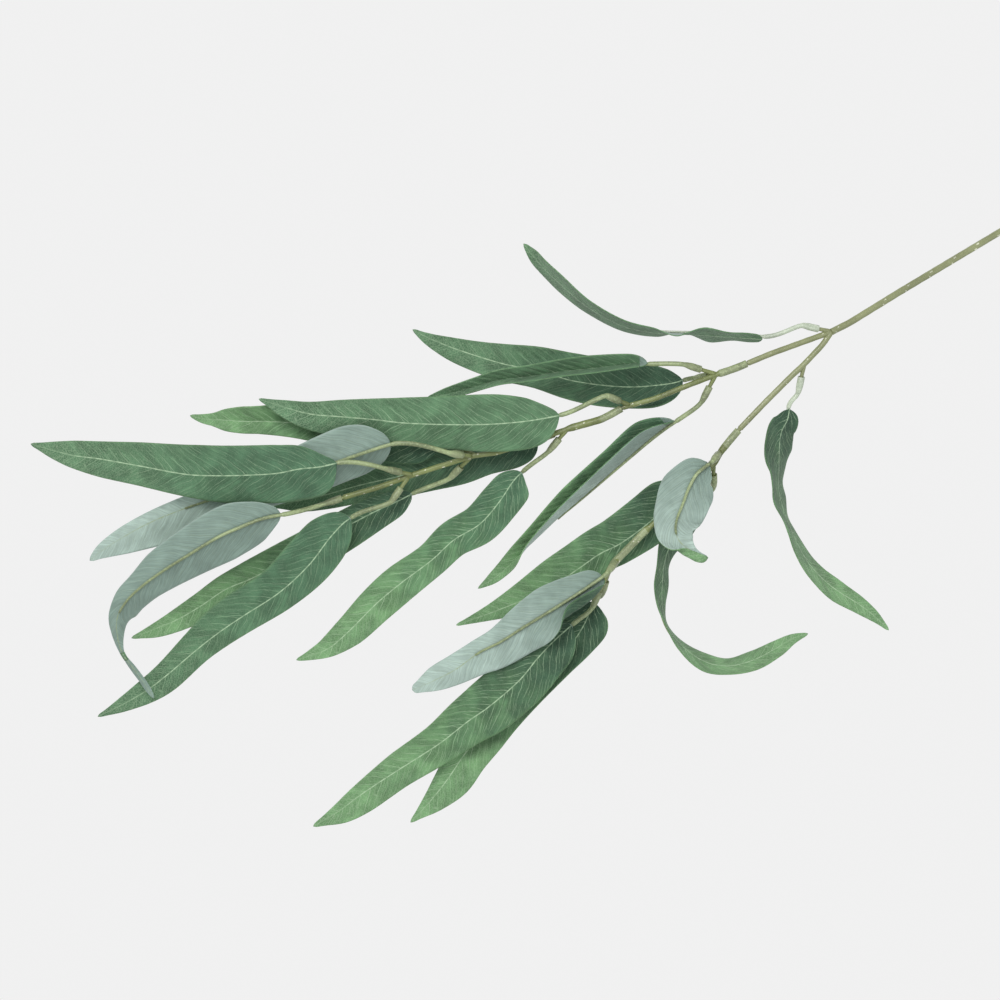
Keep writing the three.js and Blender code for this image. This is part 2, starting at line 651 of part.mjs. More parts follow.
// Stations along a leaf: its place, its left and up directions, half widths and tilts
function leafStations(leaf) {
  const curve = new THREE.CatmullRomCurve3(leaf.spine.map(vec), false, "centripetal");
  return Array.from({ length: BLADE_STATIONS + 1 }, (_, i) => {
    const share = (i / BLADE_STATIONS) ** STATION_CROWDING;
    const place = curve.getUtoTmapping(share);
    const tangent = curve.getTangent(place);
    const left = UP.clone().cross(tangent).normalize();
    return {
      share,
      point: curve.getPoint(place),
      tangent,
      left,
      up: tangent.clone().cross(left),
      tilts: [3, 4].map((column) => THREE.MathUtils.degToRad(along(leaf.spine, column, place))),
      widths: [5, 6].map((column) => along(leaf.spine, column, place)),
      curls: [7, 8].map((column) => THREE.MathUtils.degToRad(along(leaf.spine, column, place))),
    };
  });
}

// The direction that the blade's upper face looks at its midrib
function faceDirection(station) {
  const [leftTilt, rightTilt] = station.tilts;
  return station.up.clone()
    .multiplyScalar(Math.cos(leftTilt) + Math.cos(rightTilt))
    .addScaledVector(station.left, Math.sin(rightTilt) - Math.sin(leftTilt))
    .normalize();
}

// The five points across a blade: left edge, left inner, midrib, right inner, right edge
function bladeRow(station, waves) {
  const fade = Math.sin(Math.PI * station.share);
  const reach = (sign, tilt, length) => new THREE.Vector3()
    .addScaledVector(station.left, sign * length * Math.cos(tilt))
    .addScaledVector(station.up, length * Math.sin(tilt));
  const half = (sign, tilt, width, curl, phase) => {
    const wave = Math.sin(FULL_TURN * WAVE_COUNT * station.share + phase) * fade;
    const inner = station.point.clone().add(reach(sign, tilt, width * INNER_SHARE));
    const edge = inner.clone().add(reach(sign, tilt + curl, width * (1 - INNER_SHARE)));
    edge.z += WAVE_RISE * wave * Math.abs(Math.cos(tilt));
    return [inner, edge];
  };
  const [leftInner, leftEdge] = half(1, station.tilts[0], station.widths[0], station.curls[0], waves[0]);
  const [rightInner, rightEdge] = half(-1, station.tilts[1], station.widths[1], station.curls[1], waves[1]);
  return [leftEdge, leftInner, station.point.clone(), rightInner, rightEdge];
}

// A thin closed blade on a grid of points, both faces split into triangles alike
function sheet(rows) {
  const columns = rows[0].length;
  const points = rows.flat();
  points.forEach((point) => {
    point.z = Math.max(point.z, BLADE_THICKNESS / 2);
  });
  const middle = new THREE.BufferGeometry().setFromPoints(points);
  const faces = [];
  for (let i = 0; i + 1 < rows.length; i += 1) {
    for (let j = 0; j + 1 < columns; j += 1) {
      const a = i * columns + j;
      const c = a + columns;
      faces.push([a, a + 1, c + 1], [a, c + 1, c]);
    }
  }
  middle.setIndex(faces.flat());
  middle.computeVertexNormals();
  const normals = middle.getAttribute("normal");
  const offset = (k, sign) => points[k].clone()
    .addScaledVector(new THREE.Vector3().fromBufferAttribute(normals, k), (sign * BLADE_THICKNESS) / 2);
  const top = points.map((_, k) => offset(k, 1));
  const bottom = points.map((_, k) => offset(k, -1));
  const count = points.length;
  const shell = [...faces, ...faces.map(([a, b, c]) => [a + count, c + count, b + count])];
  for (const [a, b] of rim(rows.length, columns)) {
    shell.push([b, a, a + count], [b, a + count, b + count]);
  }
  return closedGeometry([...top, ...bottom], shell);
}

// The grid's outer edges, in the direction that its faces run them
function rim(rowCount, columns) {
  const edges = [];
  const lastRow = (rowCount - 1) * columns;
  for (let j = 0; j + 1 < columns; j += 1) {
    edges.push([j, j + 1], [lastRow + j + 1, lastRow + j]);
  }
  for (let i = 0; i + 1 < rowCount; i += 1) {
    const a = i * columns;
    edges.push([a + columns, a], [a + columns - 1, a + 2 * columns - 1]);
  }
  return edges;
}

function blade(leaf, seed) {
  const random = seededRandom(seed);
  const waves = [random() * FULL_TURN, random() * FULL_TURN];
  return sheet(leafStations(leaf).map((station) => bladeRow(station, waves)));
}

// The moulded stalk: a socket over the nub, a thin stalk, and a midrib along the blade's under side
function stalk(leaf) {
  const underside = leaf.under ? 1 : -1;
  const ribs = leafStations(leaf).slice(0, RIB_STATIONS).map((station, i) => {
    const radius = THREE.MathUtils.lerp(RIB_RADIUS, RIB_TIP_RADIUS, i / (RIB_STATIONS - 1));
    const clear = BLADE_THICKNESS / 2 + MOULDED_GAP + radius;
    const point = station.point.clone().addScaledVector(faceDirection(station), underside * clear);
    return { point, radius, tangent: station.tangent };
  });
  const node = vec(leaf.node);
  const mouth = vec(leaf.mouth);
  const way = mouth.clone().sub(node).normalize();
  const out = (distance) => mouth.clone().addScaledVector(way, distance);
  const base = ribs[0].point;
  const lead = ribs[0].tangent.clone().multiplyScalar(-base.distanceTo(mouth) * STALK_LEAD_SHARE);
  const bend = new THREE.CubicBezierCurve3(out(SOCKET_LENGTH), out(SOCKET_LENGTH + STALK_SWEEP),
    base.clone().add(lead), base);
  const bends = STALK_BENDS.map((t) => ({ point: bend.getPoint(t), radius: STALK_RADIUS }));
  const socket = [
    { point: mouth, radius: SOCKET_RADIUS },
    { point: out(SOCKET_DEPTH), radius: SOCKET_RADIUS },
    { point: out(SOCKET_LENGTH), radius: SOCKET_END_RADIUS },
  ];
  return tube([...socket, ...bends, ...ribs], STALK_SIDES, SOCKET_BORE, 2);
}

function mesh(name, geometry, colour, roughness, metalness) {
  const material = new THREE.MeshStandardMaterial({ color: colour, roughness, metalness });
  const piece = new THREE.Mesh(geometry, material);
  piece.name = name;
  return piece;
}

const spray = new THREE.Group();
spray.position.set(-CENTRE_X, -CENTRE_Y, 0);
spray.add(mesh("main_stem", mainStem(), COLOURS.stem, 0.5, 0));
spray.add(mesh("stem_wire", stemWire(), COLOURS.wire, 0.35, 1));
spray.add(mesh("upper_limb", limb("upper_limb", UPPER_LIMB), COLOURS.stem, 0.5, 0));
spray.add(mesh("outer_limb", limb("outer_limb", OUTER_LIMB), COLOURS.stem, 0.5, 0));
spray.add(mesh("lower_limb", limb("lower_limb", LOWER_LIMB), COLOURS.stem, 0.5, 0));
LEAVES.forEach((leaf, i) => {
  spray.add(mesh(`${leaf.name}_stalk`, stalk(leaf), COLOURS.stalk, 0.45, 0));
  spray.add(mesh(`${leaf.name}_blade`, blade(leaf, i + 1), COLOURS.blade, 0.7, 0));
});

export default spray;
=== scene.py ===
"""Looks for the artificial willow spray: fabric leaves, moulded stalks and stems, camera and light."""

import math

import bmesh
import bpy
import numpy as np
from bpy.props import FloatProperty, FloatVectorProperty, IntProperty, PointerProperty
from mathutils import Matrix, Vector


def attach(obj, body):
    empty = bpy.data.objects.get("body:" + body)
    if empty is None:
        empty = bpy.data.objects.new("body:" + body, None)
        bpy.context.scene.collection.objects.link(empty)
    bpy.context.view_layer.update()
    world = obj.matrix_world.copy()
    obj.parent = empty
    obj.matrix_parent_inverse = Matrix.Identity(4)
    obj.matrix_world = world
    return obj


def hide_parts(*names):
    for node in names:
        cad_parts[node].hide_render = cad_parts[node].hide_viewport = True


bl_info = {
    "name": "Willow Spray",
    "version": (1, 0, 0),
    "blender": (4, 5, 0),
    "location": "View3D > Sidebar > Willow Spray",
    "description": "Adds an artificial willow spray with fabric leaves on moulded stems",
    "category": "Add Mesh",
}

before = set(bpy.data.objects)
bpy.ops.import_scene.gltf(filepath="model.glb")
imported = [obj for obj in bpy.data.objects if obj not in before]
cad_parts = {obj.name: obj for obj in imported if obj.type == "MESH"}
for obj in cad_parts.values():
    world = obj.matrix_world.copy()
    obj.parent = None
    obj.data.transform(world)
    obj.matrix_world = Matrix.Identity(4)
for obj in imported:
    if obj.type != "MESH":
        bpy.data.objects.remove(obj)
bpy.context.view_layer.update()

MM = 0.001
DECIMETRE = 100.0
TINY = 1e-12
UP = np.array([0.0, 0.0, 1.0])

# The place of the frame's origin in the rows below, in millimetres
CENTRE = np.array([3.18, 0.155, 0.0])

# A leaf's build, in millimetres, as in the solids
CAD_THICKNESS = 0.6
WAVE_RISE = 1.0
WAVE_COUNT = 3.2
BLADE_STATIONS = 19
STATION_CROWDING = 1.15
RIB_LAST_STATION = 12
RIB_END_SHARE = (RIB_LAST_STATION / BLADE_STATIONS) ** STATION_CROWDING
RIB_RADIUS = 0.95
RIB_TIP_RADIUS = 0.4
SOCKET_BORE = 1.4
SOCKET_RADIUS = 1.9
SOCKET_END_RADIUS = 1.55
SOCKET_DEPTH = 5.0
SOCKET_LENGTH = 7.5
STALK_RADIUS = 1.25
STALK_SWEEP = 4.0
STALK_LEAD_SHARE = 0.3
NUB_RADIUS = 1.0
NUB_DEPTH = 4.0

# The stems' build, in millimetres, as in the solids, where the main stem lies on one of its flat sides
CAD_STEM_SIDES = 8
STEM_RADIUS = 1.75
STEM_LIE = STEM_RADIUS * math.cos(math.pi / CAD_STEM_SIDES)
LIMB_RADIUS = 1.5
OUTER_LIMB_RADIUS = 1.4
COLLAR_RADIUS = 2.2
COLLAR_BORE = 1.45
SPIGOT_RADIUS = 1.1
WIRE_BORE = 1.0

# How many rows of its centreline a bore runs along
WIRE_STATIONS = 8
COLLAR_BORE_STATIONS = 2

# Centrelines, as in the solids: [x, y, z, radius], in millimetres
MAIN_STEM = [
    [349, 211, STEM_LIE, STEM_RADIUS],
    [300, 181.5, STEM_LIE, STEM_RADIUS],
    [245, 149, STEM_LIE, STEM_RADIUS],
    [193, 117.5, 4, STEM_RADIUS],
    [143, 87, 10, STEM_RADIUS],
    [118, 72, 13.5, STEM_RADIUS],
    [92, 56.5, 18, STEM_RADIUS],
    [67.5, 41.5, 22.5, STEM_RADIUS],
    [58.5, 37, 24, STEM_RADIUS],
]
UPPER_ARM = [
    [58.5, 37, 24, LIMB_RADIUS],
    [46, 32.5, 25, LIMB_RADIUS],
    [28, 26, 26.5, LIMB_RADIUS],
    [16.9, 21.4, 27.3, LIMB_RADIUS],
    [16.5, 21.2, 27.4, SPIGOT_RADIUS],
    [11, 19, 27.8, SPIGOT_RADIUS],
]
LOWER_ARM = [
    [58.5, 37, 24, LIMB_RADIUS],
    [54, 30.5, 24.5, LIMB_RADIUS],
    [44.5, 20.5, 25, LIMB_RADIUS],
    [38.5, 15, 25.4, LIMB_RADIUS],
    [25.5, 2, 25.6, LIMB_RADIUS],
    [12.9, -11.2, 25.5, LIMB_RADIUS],
    [12.5, -11.6, 25.5, SPIGOT_RADIUS],
    [8.7, -16, 25.3, SPIGOT_RADIUS],
]
UPPER_LIMB = [
    [16, 21, 27.4, COLLAR_RADIUS],
    [10.2, 18.6, 27.9, COLLAR_RADIUS],
    [3, 16.2, 28.4, COLLAR_RADIUS],
    [1.5, 15.8, 28.5, OUTER_LIMB_RADIUS],
    [-12.5, 10.5, 29.5, OUTER_LIMB_RADIUS],
    [-30, 3.5, 30.5, OUTER_LIMB_RADIUS],
    [-45.4, -0.8, 31, OUTER_LIMB_RADIUS],
    [-46, -1.1, 31, SPIGOT_RADIUS],
    [-51, -3.9, 31, SPIGOT_RADIUS],
]
OUTER_LIMB = [
    [-46.5, -1.4, 31, COLLAR_RADIUS],
    [-52, -4.5, 31, COLLAR_RADIUS],
    [-57, -7, 31, 1.9],
    [-71, -10.8, 30.7, 1.9],
    [-74.5, -12, 30.5, OUTER_LIMB_RADIUS],
    [-92, -18, 30, OUTER_LIMB_RADIUS],
    [-109, -23.5, 29.5, OUTER_LIMB_RADIUS],
    [-120.5, -25, 29, OUTER_LIMB_RADIUS],
    [-139.5, -31, 28, OUTER_LIMB_RADIUS],
    [-152, -35, 27, OUTER_LIMB_RADIUS],
    [-167, -40.5, 26, OUTER_LIMB_RADIUS],
    [-185, -45.7, 25, OUTER_LIMB_RADIUS],
]
LOWER_LIMB = [
    [12, -12.2, 25.5, COLLAR_RADIUS],
    [8, -16.8, 25.3, COLLAR_RADIUS],
    [3, -23, 25, 1.7],
    [0, -29, 24.5, OUTER_LIMB_RADIUS],
    [-12, -42, 23.6, OUTER_LIMB_RADIUS],
    [-32, -60.5, 22, OUTER_LIMB_RADIUS],
    [-34, -62, 21.9, 2.0],
    [-50, -78.5, 20.2, 2.0],
    [-53.5, -84, 19.5, OUTER_LIMB_RADIUS],
    [-56, -89.5, 18.9, OUTER_LIMB_RADIUS],
]

# Leaves, as in the solids. Spine rows: [x, y, z, left tilt, right tilt, left width, right width], then
# in some leaves a left curl, or a left and a right one. Tilts and curls in degrees, the rest in millimetres
LEAVES = [
    {
        "name": "leaf_01", "carrier": "main_stem",
        "node": [58.5, 37, 24], "mouth": [52, 38.4, 25.4],
        "spine": [
            [24, 33.6, 25, -60, 60, 3, 3],
            [10, 34.6, 23, -80, 80, 9, 9],
            [-3, 35.5, 21, -75, 75, 12, 12],
            [-12, 36, 19.6, -89, 89, 12.5, 12.5],
            [-18, 36.2, 18.8, -97, 97, 12.5, 12.5],
            [-29, 36.9, 17.5, -83, 83, 12.5, 12.5],
            [-45, 40.3, 16, -80, 80, 12.5, 12.5],
            [-63, 50, 13.8, -78, 78, 12, 12],
            [-76, 61, 10.5, -73, 73, 10.5, 10.5],
            [-87, 72, 5.5, -62, 62, 6, 6],
            [-95, 82, 1, -20, 20, 0.8, 0.8],
        ],
    },
    {
        "name": "leaf_02", "carrier": "upper_limb",
        "node": [1, 15.6, 28.5], "mouth": [-3.2, 15, 24.4],
        "spine": [
            [-15.5, 12.8, 21.5, 10, 5, 2, 2],
            [-20, 11.5, 20.8, 20, 8, 8, 6.5],
            [-29, 10.2, 19.4, 30, 8, 12.5, 10.5],
            [-42, 9.4, 17.5, 35, 8, 13, 14],
            [-57, 10.5, 15, 35, 8, 12.8, 14],
            [-72, 13, 12, 30, 8, 11, 14],
            [-88, 18, 9, 25, 8, 10, 12],
            [-104, 21, 6.5, 20, 6, 9, 10.5],
            [-119, 25.5, 3.8, 12, 5, 8, 7.5],
            [-132, 30, 1.6, 5, 5, 6.3, 5],
            [-144, 35, 0.5, 0, 0, 3.3, 2.3],
            [-151, 38.8, 0.3, 0, 0, 0.7, 0.7],
        ],
    },
    {
        "name": "leaf_03", "carrier": "upper_limb",
        "node": [1, 15.6, 28.5], "mouth": [-7, 18, 31.6],
        "spine": [
            [-33.5, 21, 33, 60, 30, 2, 2],
            [-40, 20.9, 32.5, 70, 40, 6, 6],
            [-61, 18.5, 30.5, 74, 45, 9, 9],
            [-77, 16.8, 28.8, 74, 48, 9, 9],
            [-93, 14.5, 26.6, 72, 50, 8.5, 8.5],
            [-107, 13, 24.6, 70, 50, 7.5, 7.5],
            [-120, 9.5, 22.5, 65, 45, 6, 6],
            [-132, 6.5, 20.4, 50, 40, 4, 4],
            [-143.5, 4, 18.6, 20, 20, 0.8, 0.8],
        ],
    },
    {
        "name": "leaf_04", "carrier": "upper_limb",
        "node": [0.5, 15.4, 28.5], "mouth": [-2.5, 9.5, 27.6],
        "spine": [
            [-20, -7.5, 25, 100, 20, 2, 2],
            [-25, -11, 23.5, 112, 28, 8, 8],
            [-32, -16.5, 21.5, 118, 32, 12, 13],
            [-47, -29.5, 17.5, 115, 38, 13, 13.3],
            [-67, -47, 12.5, 110, 40, 13, 13],
            [-77, -55.5, 10.2, 107, 42, 11.5, 11.2],
            [-87, -65, 8, 104, 42, 9.5, 9.2],
            [-95, -72.5, 6, 90, 38, 7, 7.4],
            [-104, -81.5, 3.6, 40, 20, 3.5, 5],
            [-111, -87, 1.8, 10, 5, 2.5, 3],
            [-118, -91.5, 0.4, 0, 0, 0.6, 0.6],
        ],
    },
    {
        "name": "leaf_05", "carrier": "upper_limb",
        "node": [-42.5, 0.2, 30.9], "mouth": [-47.5, 2.2, 34.4],
        "spine": [
            [-77.5, -5, 37.6, -5, 5, 3, 2],
            [-83, -6, 38, -8, 8, 10, 6],
            [-92, -7.5, 38.4, -12, 8, 14, 11.3],
            [-107, -9, 38.8, -20, 8, 14.8, 14.6],
            [-127, -9.5, 38.6, -28, 8, 14.3, 14.6],
            [-156, -8.5, 35.6, -22, 10, 11, 12.6],
            [-168.5, -7, 33.6, -20, 12, 11, 10.7],
            [-185.5, -5.5, 30.6, -12, 14, 10.5, 8.7],
            [-202, -4, 27.2, -5, 15, 8, 6.2],
            [-215, -0.5, 23.8, 0, 12, 5, 3.5],
            [-227.5, 3.5, 20, 0, 10, 0.7, 0.7],
        ],
    },
    {
        "name": "leaf_06", "carrier": "outer_limb",
        "node": [-73.5, -11.7, 30.5], "mouth": [-77.5, -16.5, 29.4],
        "spine": [
            [-96, -33.2, 25, 10, 10, 2, 2],
            [-98.5, -35.5, 24.3, 14, 10, 8.5, 5],
            [-101, -38.5, 23.6, 18, 12, 11.5, 8.3],
            [-107, -47.5, 21.3, 20, 14, 11, 10.2],
            [-117, -59, 18, 24, 14, 10.8, 10.3],
            [-130, -67, 15.2, 24, 14, 9.3, 10.2],
            [-141, -77, 12.8, 22, 14, 9, 9.2],
            [-157, -89, 9.2, 18, 12, 9.8, 10],
            [-169, -99, 6.6, 14, 10, 9.8, 9],
            [-183, -113, 3.6, 8, 8, 8.2, 7.6],
            [-193, -121.5, 1.8, 5, 5, 4.6, 6],
            [-203, -125.5, 0.6, 0, 0, 2.3, 2.6],
            [-209.5, -127.5, 0.3, 0, 0, 0.7, 0.7],
        ],
    },
    {
        "name": "leaf_07", "carrier": "outer_limb",
        "node": [-119, -24.8, 29], "mouth": [-124.4, -22.4, 25.8],
        "spine": [
            [-138, -21.5, 23, -10, 10, 3, 3],
            [-146, -20, 22, -10, 20, 9, 9],
            [-160, -17.5, 20, -8, 30, 11, 13],
            [-182, -12.5, 17, 0, 38, 10, 13],
            [-207, -8.5, 13.5, 12, 38, 8, 12.5],
            [-227, -7.5, 10, 18, 35, 6.8, 9.2],
            [-235, -7.5, 8, 18, 32, 6.5, 8.6],
            [-245, -6.8, 5.4, 12, 25, 5.6, 6],
            [-251, -6.5, 3.6, 8, 15, 3.4, 3.4],
            [-257, -6, 2, 5, 8, 2.3, 2.3],
            [-263, -4.5, 0.5, 0, 0, 0.7, 0.7],
        ],
    },
    {
        "name": "leaf_08", "carrier": "outer_limb", "under": True,
        "node": [-121, -25.2, 29], "mouth": [-125.6, -24.6, 33],
        "spine": [
            [-161, -19, 38.6, -35, 0, 2.5, 3],
            [-165, -20, 38.2, -42, 0, 8, 8],
            [-170, -21.6, 37.4, -44, 0, 11.5, 12.5],
            [-179, -24.6, 35.4, -42, -2, 14, 15.5],
            [-190, -28.5, 32.6, -40, -4, 14, 15.5],
            [-207, -34, 28, -30, -6, 13.5, 13.5],
            [-232, -41, 22, -25, -10, 13, 10],
            [-252, -47, 17, -18, -12, 13.5, 7],
            [-267, -52, 13, -15, -12, 14, 6],
            [-283, -58.5, 8.6, -12, -10, 13, 5.4],
            [-297, -66, 4.8, -8, -8, 9, 5],
            [-308, -73, 2, -3, -3, 4, 3.4],
            [-313.5, -77.5, 0.6, 0, 0, 1, 1],
        ],
    },
    {
        "name": "leaf_09", "carrier": "outer_limb",
        "node": [-150.5, -34.6, 27.1], "mouth": [-156.5, -33.2, 30.6],
        "spine": [
            [-188, -28.7, 38.2, -5, 5, 3, 1.5],
            [-191, -29.3, 38.3, -15, 5, 10, 3.5],
            [-197, -30.5, 38.4, -22, 6, 15.5, 7.6],
            [-207, -31.5, 38.3, -28, 6, 17.5, 12],
            [-217, -33.5, 37.4, -28, 8, 17, 14.2],
            [-232, -34.5, 34.6, -26, 8, 15.6, 14.8],
            [-247, -34.8, 31.8, -22, 8, 14.5, 15],
            [-262, -34.3, 28, -12, 8, 11.5, 15],
            [-287, -30, 20.4, -2, 8, 9.8, 12],
            [-307, -26.5, 12.4, 4, 8, 9, 9],
            [-322, -24.5, 6, 4, 6, 6.2, 7.5],
            [-332, -22, 2.6, 2, 3, 4, 4.6],
            [-343.2, -18.8, 0.4, 0, 0, 0.8, 0.8],
        ],
    },
    {
        "name": "leaf_10", "carrier": "outer_limb",
        "node": [-121.5, -25.4, 28.9], "mouth": [-126.5, -30.5, 26.2],
        "spine": [
            [-151, -44, 20.5, 5, 5, 2, 2],
            [-158, -47.5, 19.6, 5, 8, 7, 6],
            [-170, -53, 17.8, 5, 12, 9.5, 8],
            [-187, -62, 15, 5, 14, 11.5, 8.8],
            [-207, -73.5, 11.8, 5, 14, 12, 9.8],
            [-232, -86.5, 8.2, 5, 12, 11, 9.4],
            [-245, -92, 6.4, 5, 12, 9.5, 7.5],
            [-257, -100, 4.8, 5, 10, 8, 6.6],
            [-269, -107, 3, 5, 8, 6, 5.4],
            [-281, -112, 1.4, 0, 0, 4.5, 2.8],
            [-292.5, -116.5, 0.3, 0, 0, 0.7, 0.7],
        ],
    },
    {
        "name": "leaf_11", "carrier": "outer_limb",
        "node": [-152.5, -35.2, 27], "mouth": [-156.5, -41, 27.2],
        "spine": [
            [-181.5, -56, 26.6, 5, 5, 2.5, 2.5],
            [-185, -58.5, 26, 8, 8, 7, 8],
            [-192, -66, 24.4, 12, 8, 11.3, 13],
            [-202, -79, 21.4, 14, 8, 11.3, 14.8],
            [-217, -93, 17.6, 15, 10, 9.8, 13.2],
            [-237, -106, 13.4, 13, 10, 8.6, 13.2],
            [-248, -113.5, 11.2, 12, 10, 8, 12],
            [-259, -122, 8.8, 10, 8, 7.5, 9.6],
            [-275, -135.5, 5, 8, 8, 8.2, 7],
            [-285, -143, 2.6, 4, 4, 6.6, 6],
            [-298, -150.5, 0.9, 0, 0, 3.6, 3.4],
            [-309.5, -156, 0.3, 0, 0, 0.7, 0.7],
        ],
    },
    {
        "name": "leaf_12", "carrier": "outer_limb", "under": True,
        "node": [-182, -44.8, 25.2], "mouth": [-186, -46.1, 25.2],
        "spine": [
            [-216, -54.2, 30.2, -15, 5, 2.5, 2.5],
            [-221, -55, 30.8, -25, 4, 7.5, 6],
            [-227, -56.5, 31.3, -32, 3, 12.5, 9.2],
            [-237, -60.5, 32, -35, 0, 15.5, 13],
            [-247, -65, 32.2, -36, -4, 16.8, 13.3],
            [-262, -74, 31.3, -38, -8, 14.8, 12.6],
            [-277, -83.5, 28.2, -40, -15, 13, 11.3],
            [-287, -91, 25, -40, -25, 11.4, 8.6],
            [-294, -98, 22, -38, -30, 10.5, 8],
            [-298.5, -106, 18.6, -40, -38, 9.8, 6],
            [-298.8, -114, 15.4, -52, -50, 6, 4.6],
            [-296.5, -123.5, 12.6, -50, -50, 1.7, 1.5],
            [-291, -131.5, 10.8, -50, -50, 2, 2.2],
            [-286, -138.5, 9.4, -50, -50, 2.2, 2.2],
            [-280.8, -146.5, 8, 0, 0, 0.7, 0.7],
        ],
    },
    {
        "name": "leaf_13", "carrier": "outer_limb",
        "node": [-77, -12.9, 30.4], "mouth": [-80.5, -14.2, 26.4],
        "spine": [
            [-88, -16.5, 21.5, 0, 0, 2.5, 2.5],
            [-92, -18, 21, 5, 0, 8, 7],
            [-100, -20.5, 20, 5, 0, 10.5, 9],
            [-114, -23.5, 18.4, 8, 0, 11, 10],
            [-127, -27.5, 16.4, 8, 0, 11.8, 10],
            [-142, -31, 14.4, 8, 0, 11.5, 10],
            [-157, -35, 12.4, 6, 3, 10.5, 9.5],
            [-177, -39.5, 9.8, 5, 5, 9, 8.5],
            [-195, -44.5, 7.2, 5, 5, 7.3, 7],
            [-208, -47.5, 5.2, 3, 3, 5.5, 5],
            [-222, -50.5, 3.4, 0, 0, 0.7, 0.7],
        ],
    },
    {
        "name": "leaf_14", "carrier": "main_stem",
        "node": [44.8, 20.8, 25], "mouth": [43.6, 14.6, 23.2],
        "spine": [
            [37.5, -1.5, 21, -20, 20, 2.5, 2.5],
            [36.5, -6.5, 20, -35, 35, 7.5, 7.5],
            [33.5, -12.5, 18.8, -50, 50, 10.8, 10.8],
            [32.5, -18.5, 17.6, -54, 54, 12.5, 12.5],
            [32.3, -24, 16.5, -57, 57, 13, 13],
            [32.2, -31, 15, -70, 70, 13, 13],
            [32, -39, 14.2, -76, 76, 13, 13],
            [33.2, -47, 13.8, -73, 73, 12.8, 12.8],
            [36, -56, 13.4, -81, 81, 12.5, 12.5],
            [39, -63, 13, -79, 79, 12, 12],
            [42.2, -70, 12, -74, 74, 11.5, 11.5],
            [48, -79.5, 10, -68, 68, 10.5, 10.5],
            [55, -87, 7.6, -60, 60, 9.5, 9.5],
            [62, -92.5, 5.4, -48, 48, 8, 8],
            [74, -100, 2.8, -35, 35, 5.2, 5.2],
            [82, -106, 1.3, -15, 15, 2.7, 2.7],
            [88.7, -112.5, 0.5, 0, 0, 0.7, 0.7],
        ],
    },
    {
        "name": "leaf_15", "carrier": "lower_limb", "under": True,
        "node": [3.2, -22.6, 25], "mouth": [1.8, -24.2, 28.4],
        "spine": [
            [-2.8, -29, 31.6, -8, -8, 2.5, 2.5],
            [-5.5, -31, 32.4, -10, -10, 7, 6.5],
            [-9, -34, 33.2, -12, -12, 10.3, 10],
            [-13, -41, 33.8, -12, -12, 13.6, 13.7],
            [-16, -49, 33.2, -12, -14, 13.3, 14],
            [-19, -57, 31.6, -14, -16, 12.6, 12.2],
            [-19.4, -62.5, 30, -12, -16, 11.8, 10.6, 0, 0],
            [-17.9, -67, 28.8, -10, -12, 9.8, 8.4, 0, 60],
            [-14.6, -70.4, 28, -8, 5, 6.4, 8, 0, 145],
            [-10.4, -72.8, 27.4, -5, 20, 2.2, 9, 0, 155],
            [-6.6, -74.6, 27, 0, 25, 1.2, 9, 0, 150],
            [-3.4, -75.6, 26.6, 0, 25, 0.8, 6, 0, 150],
        ],
    },
    {
        "name": "leaf_16", "carrier": "lower_limb",
        "node": [-0.5, -29.6, 24.5], "mouth": [-0.2, -34.2, 20.2],
        "spine": [
            [-6, -47, 13.5, 5, 5, 2, 2],
            [-11, -53, 12.4, 5, 5, 6, 6],
            [-18, -63, 10.4, -20, 20, 7.5, 7.5],
            [-23, -72, 9, -54, 54, 8, 8],
            [-25.2, -80, 8.6, -68, 68, 8.5, 8.5],
            [-26, -90, 8.4, -64, 64, 8.5, 8.5],
            [-26, -100, 8.6, -75, 75, 8.5, 8.5],
            [-23.5, -109.5, 8.8, -86, 86, 8.5, 8.5],
            [-16.5, -119.8, 8.8, -76, 76, 8.5, 8.5],
            [-4, -128.6, 8.6, -60, 60, 8.5, 8.5],
            [8, -130.6, 8, -64, 64, 8.5, 8.5],
            [20, -127.8, 7, -56, 56, 8.2, 8.2],
            [31.5, -122, 5, -50, 50, 6.2, 6.2],
            [40, -117, 2.6, -35, 35, 3, 3],
            [48, -114.3, 0.8, 0, 0, 0.7, 0.7],
        ],
    },
    {
        "name": "leaf_17", "carrier": "lower_limb",
        "node": [-1.5, -30.8, 24.4], "mouth": [-4.5, -33.6, 21],
        "spine": [
            [-13.5, -41, 17.6, 0, 0, 2.5, 2.5],
            [-17, -44, 17.6, 2, 2, 8, 9.5],
            [-22, -48.5, 17.4, 4, 5, 11, 13.5],
            [-32, -58, 16.6, 4, 5, 11.5, 14.6],
            [-47, -69, 13.6, 4, 8, 10, 14.2],
            [-57, -74, 11.4, -4, 8, 10, 13.2],
            [-67, -81, 9.4, -6, 8, 10.5, 13.2],
            [-79, -89, 7, -2, 8, 10, 12.8],
            [-92, -95.8, 5, 3, 8, 8, 10],
            [-107, -102, 2.8, 3, 5, 4.8, 5.6],
            [-119, -106.5, 1, 0, 0, 2.4, 2.6],
            [-129, -110, 0.3, 0, 0, 0.7, 0.7],
        ],
    },
    {
        "name": "leaf_18", "carrier": "lower_limb", "under": True,
        "node": [-48, -76.6, 20.4], "mouth": [-49.5, -78.4, 23.4],
        "spine": [
            [-55.5, -85, 30, -8, -5, 3, 3, 60],
            [-59, -87.5, 30.2, -10, -5, 9, 7, 120],
            [-67, -93, 30.4, -10, -8, 13, 10, 150],
            [-75, -98, 29.8, -10, -8, 13.5, 12, 140],
            [-83, -103, 28.8, -12, -10, 13, 13, 60],
            [-94.5, -110, 26.6, -14, -12, 13.5, 11.3, 0],
            [-107, -118, 23.8, -14, -12, 12.6, 8.2, 0],
            [-117, -123, 21.2, -14, -12, 12, 6.8, 0],
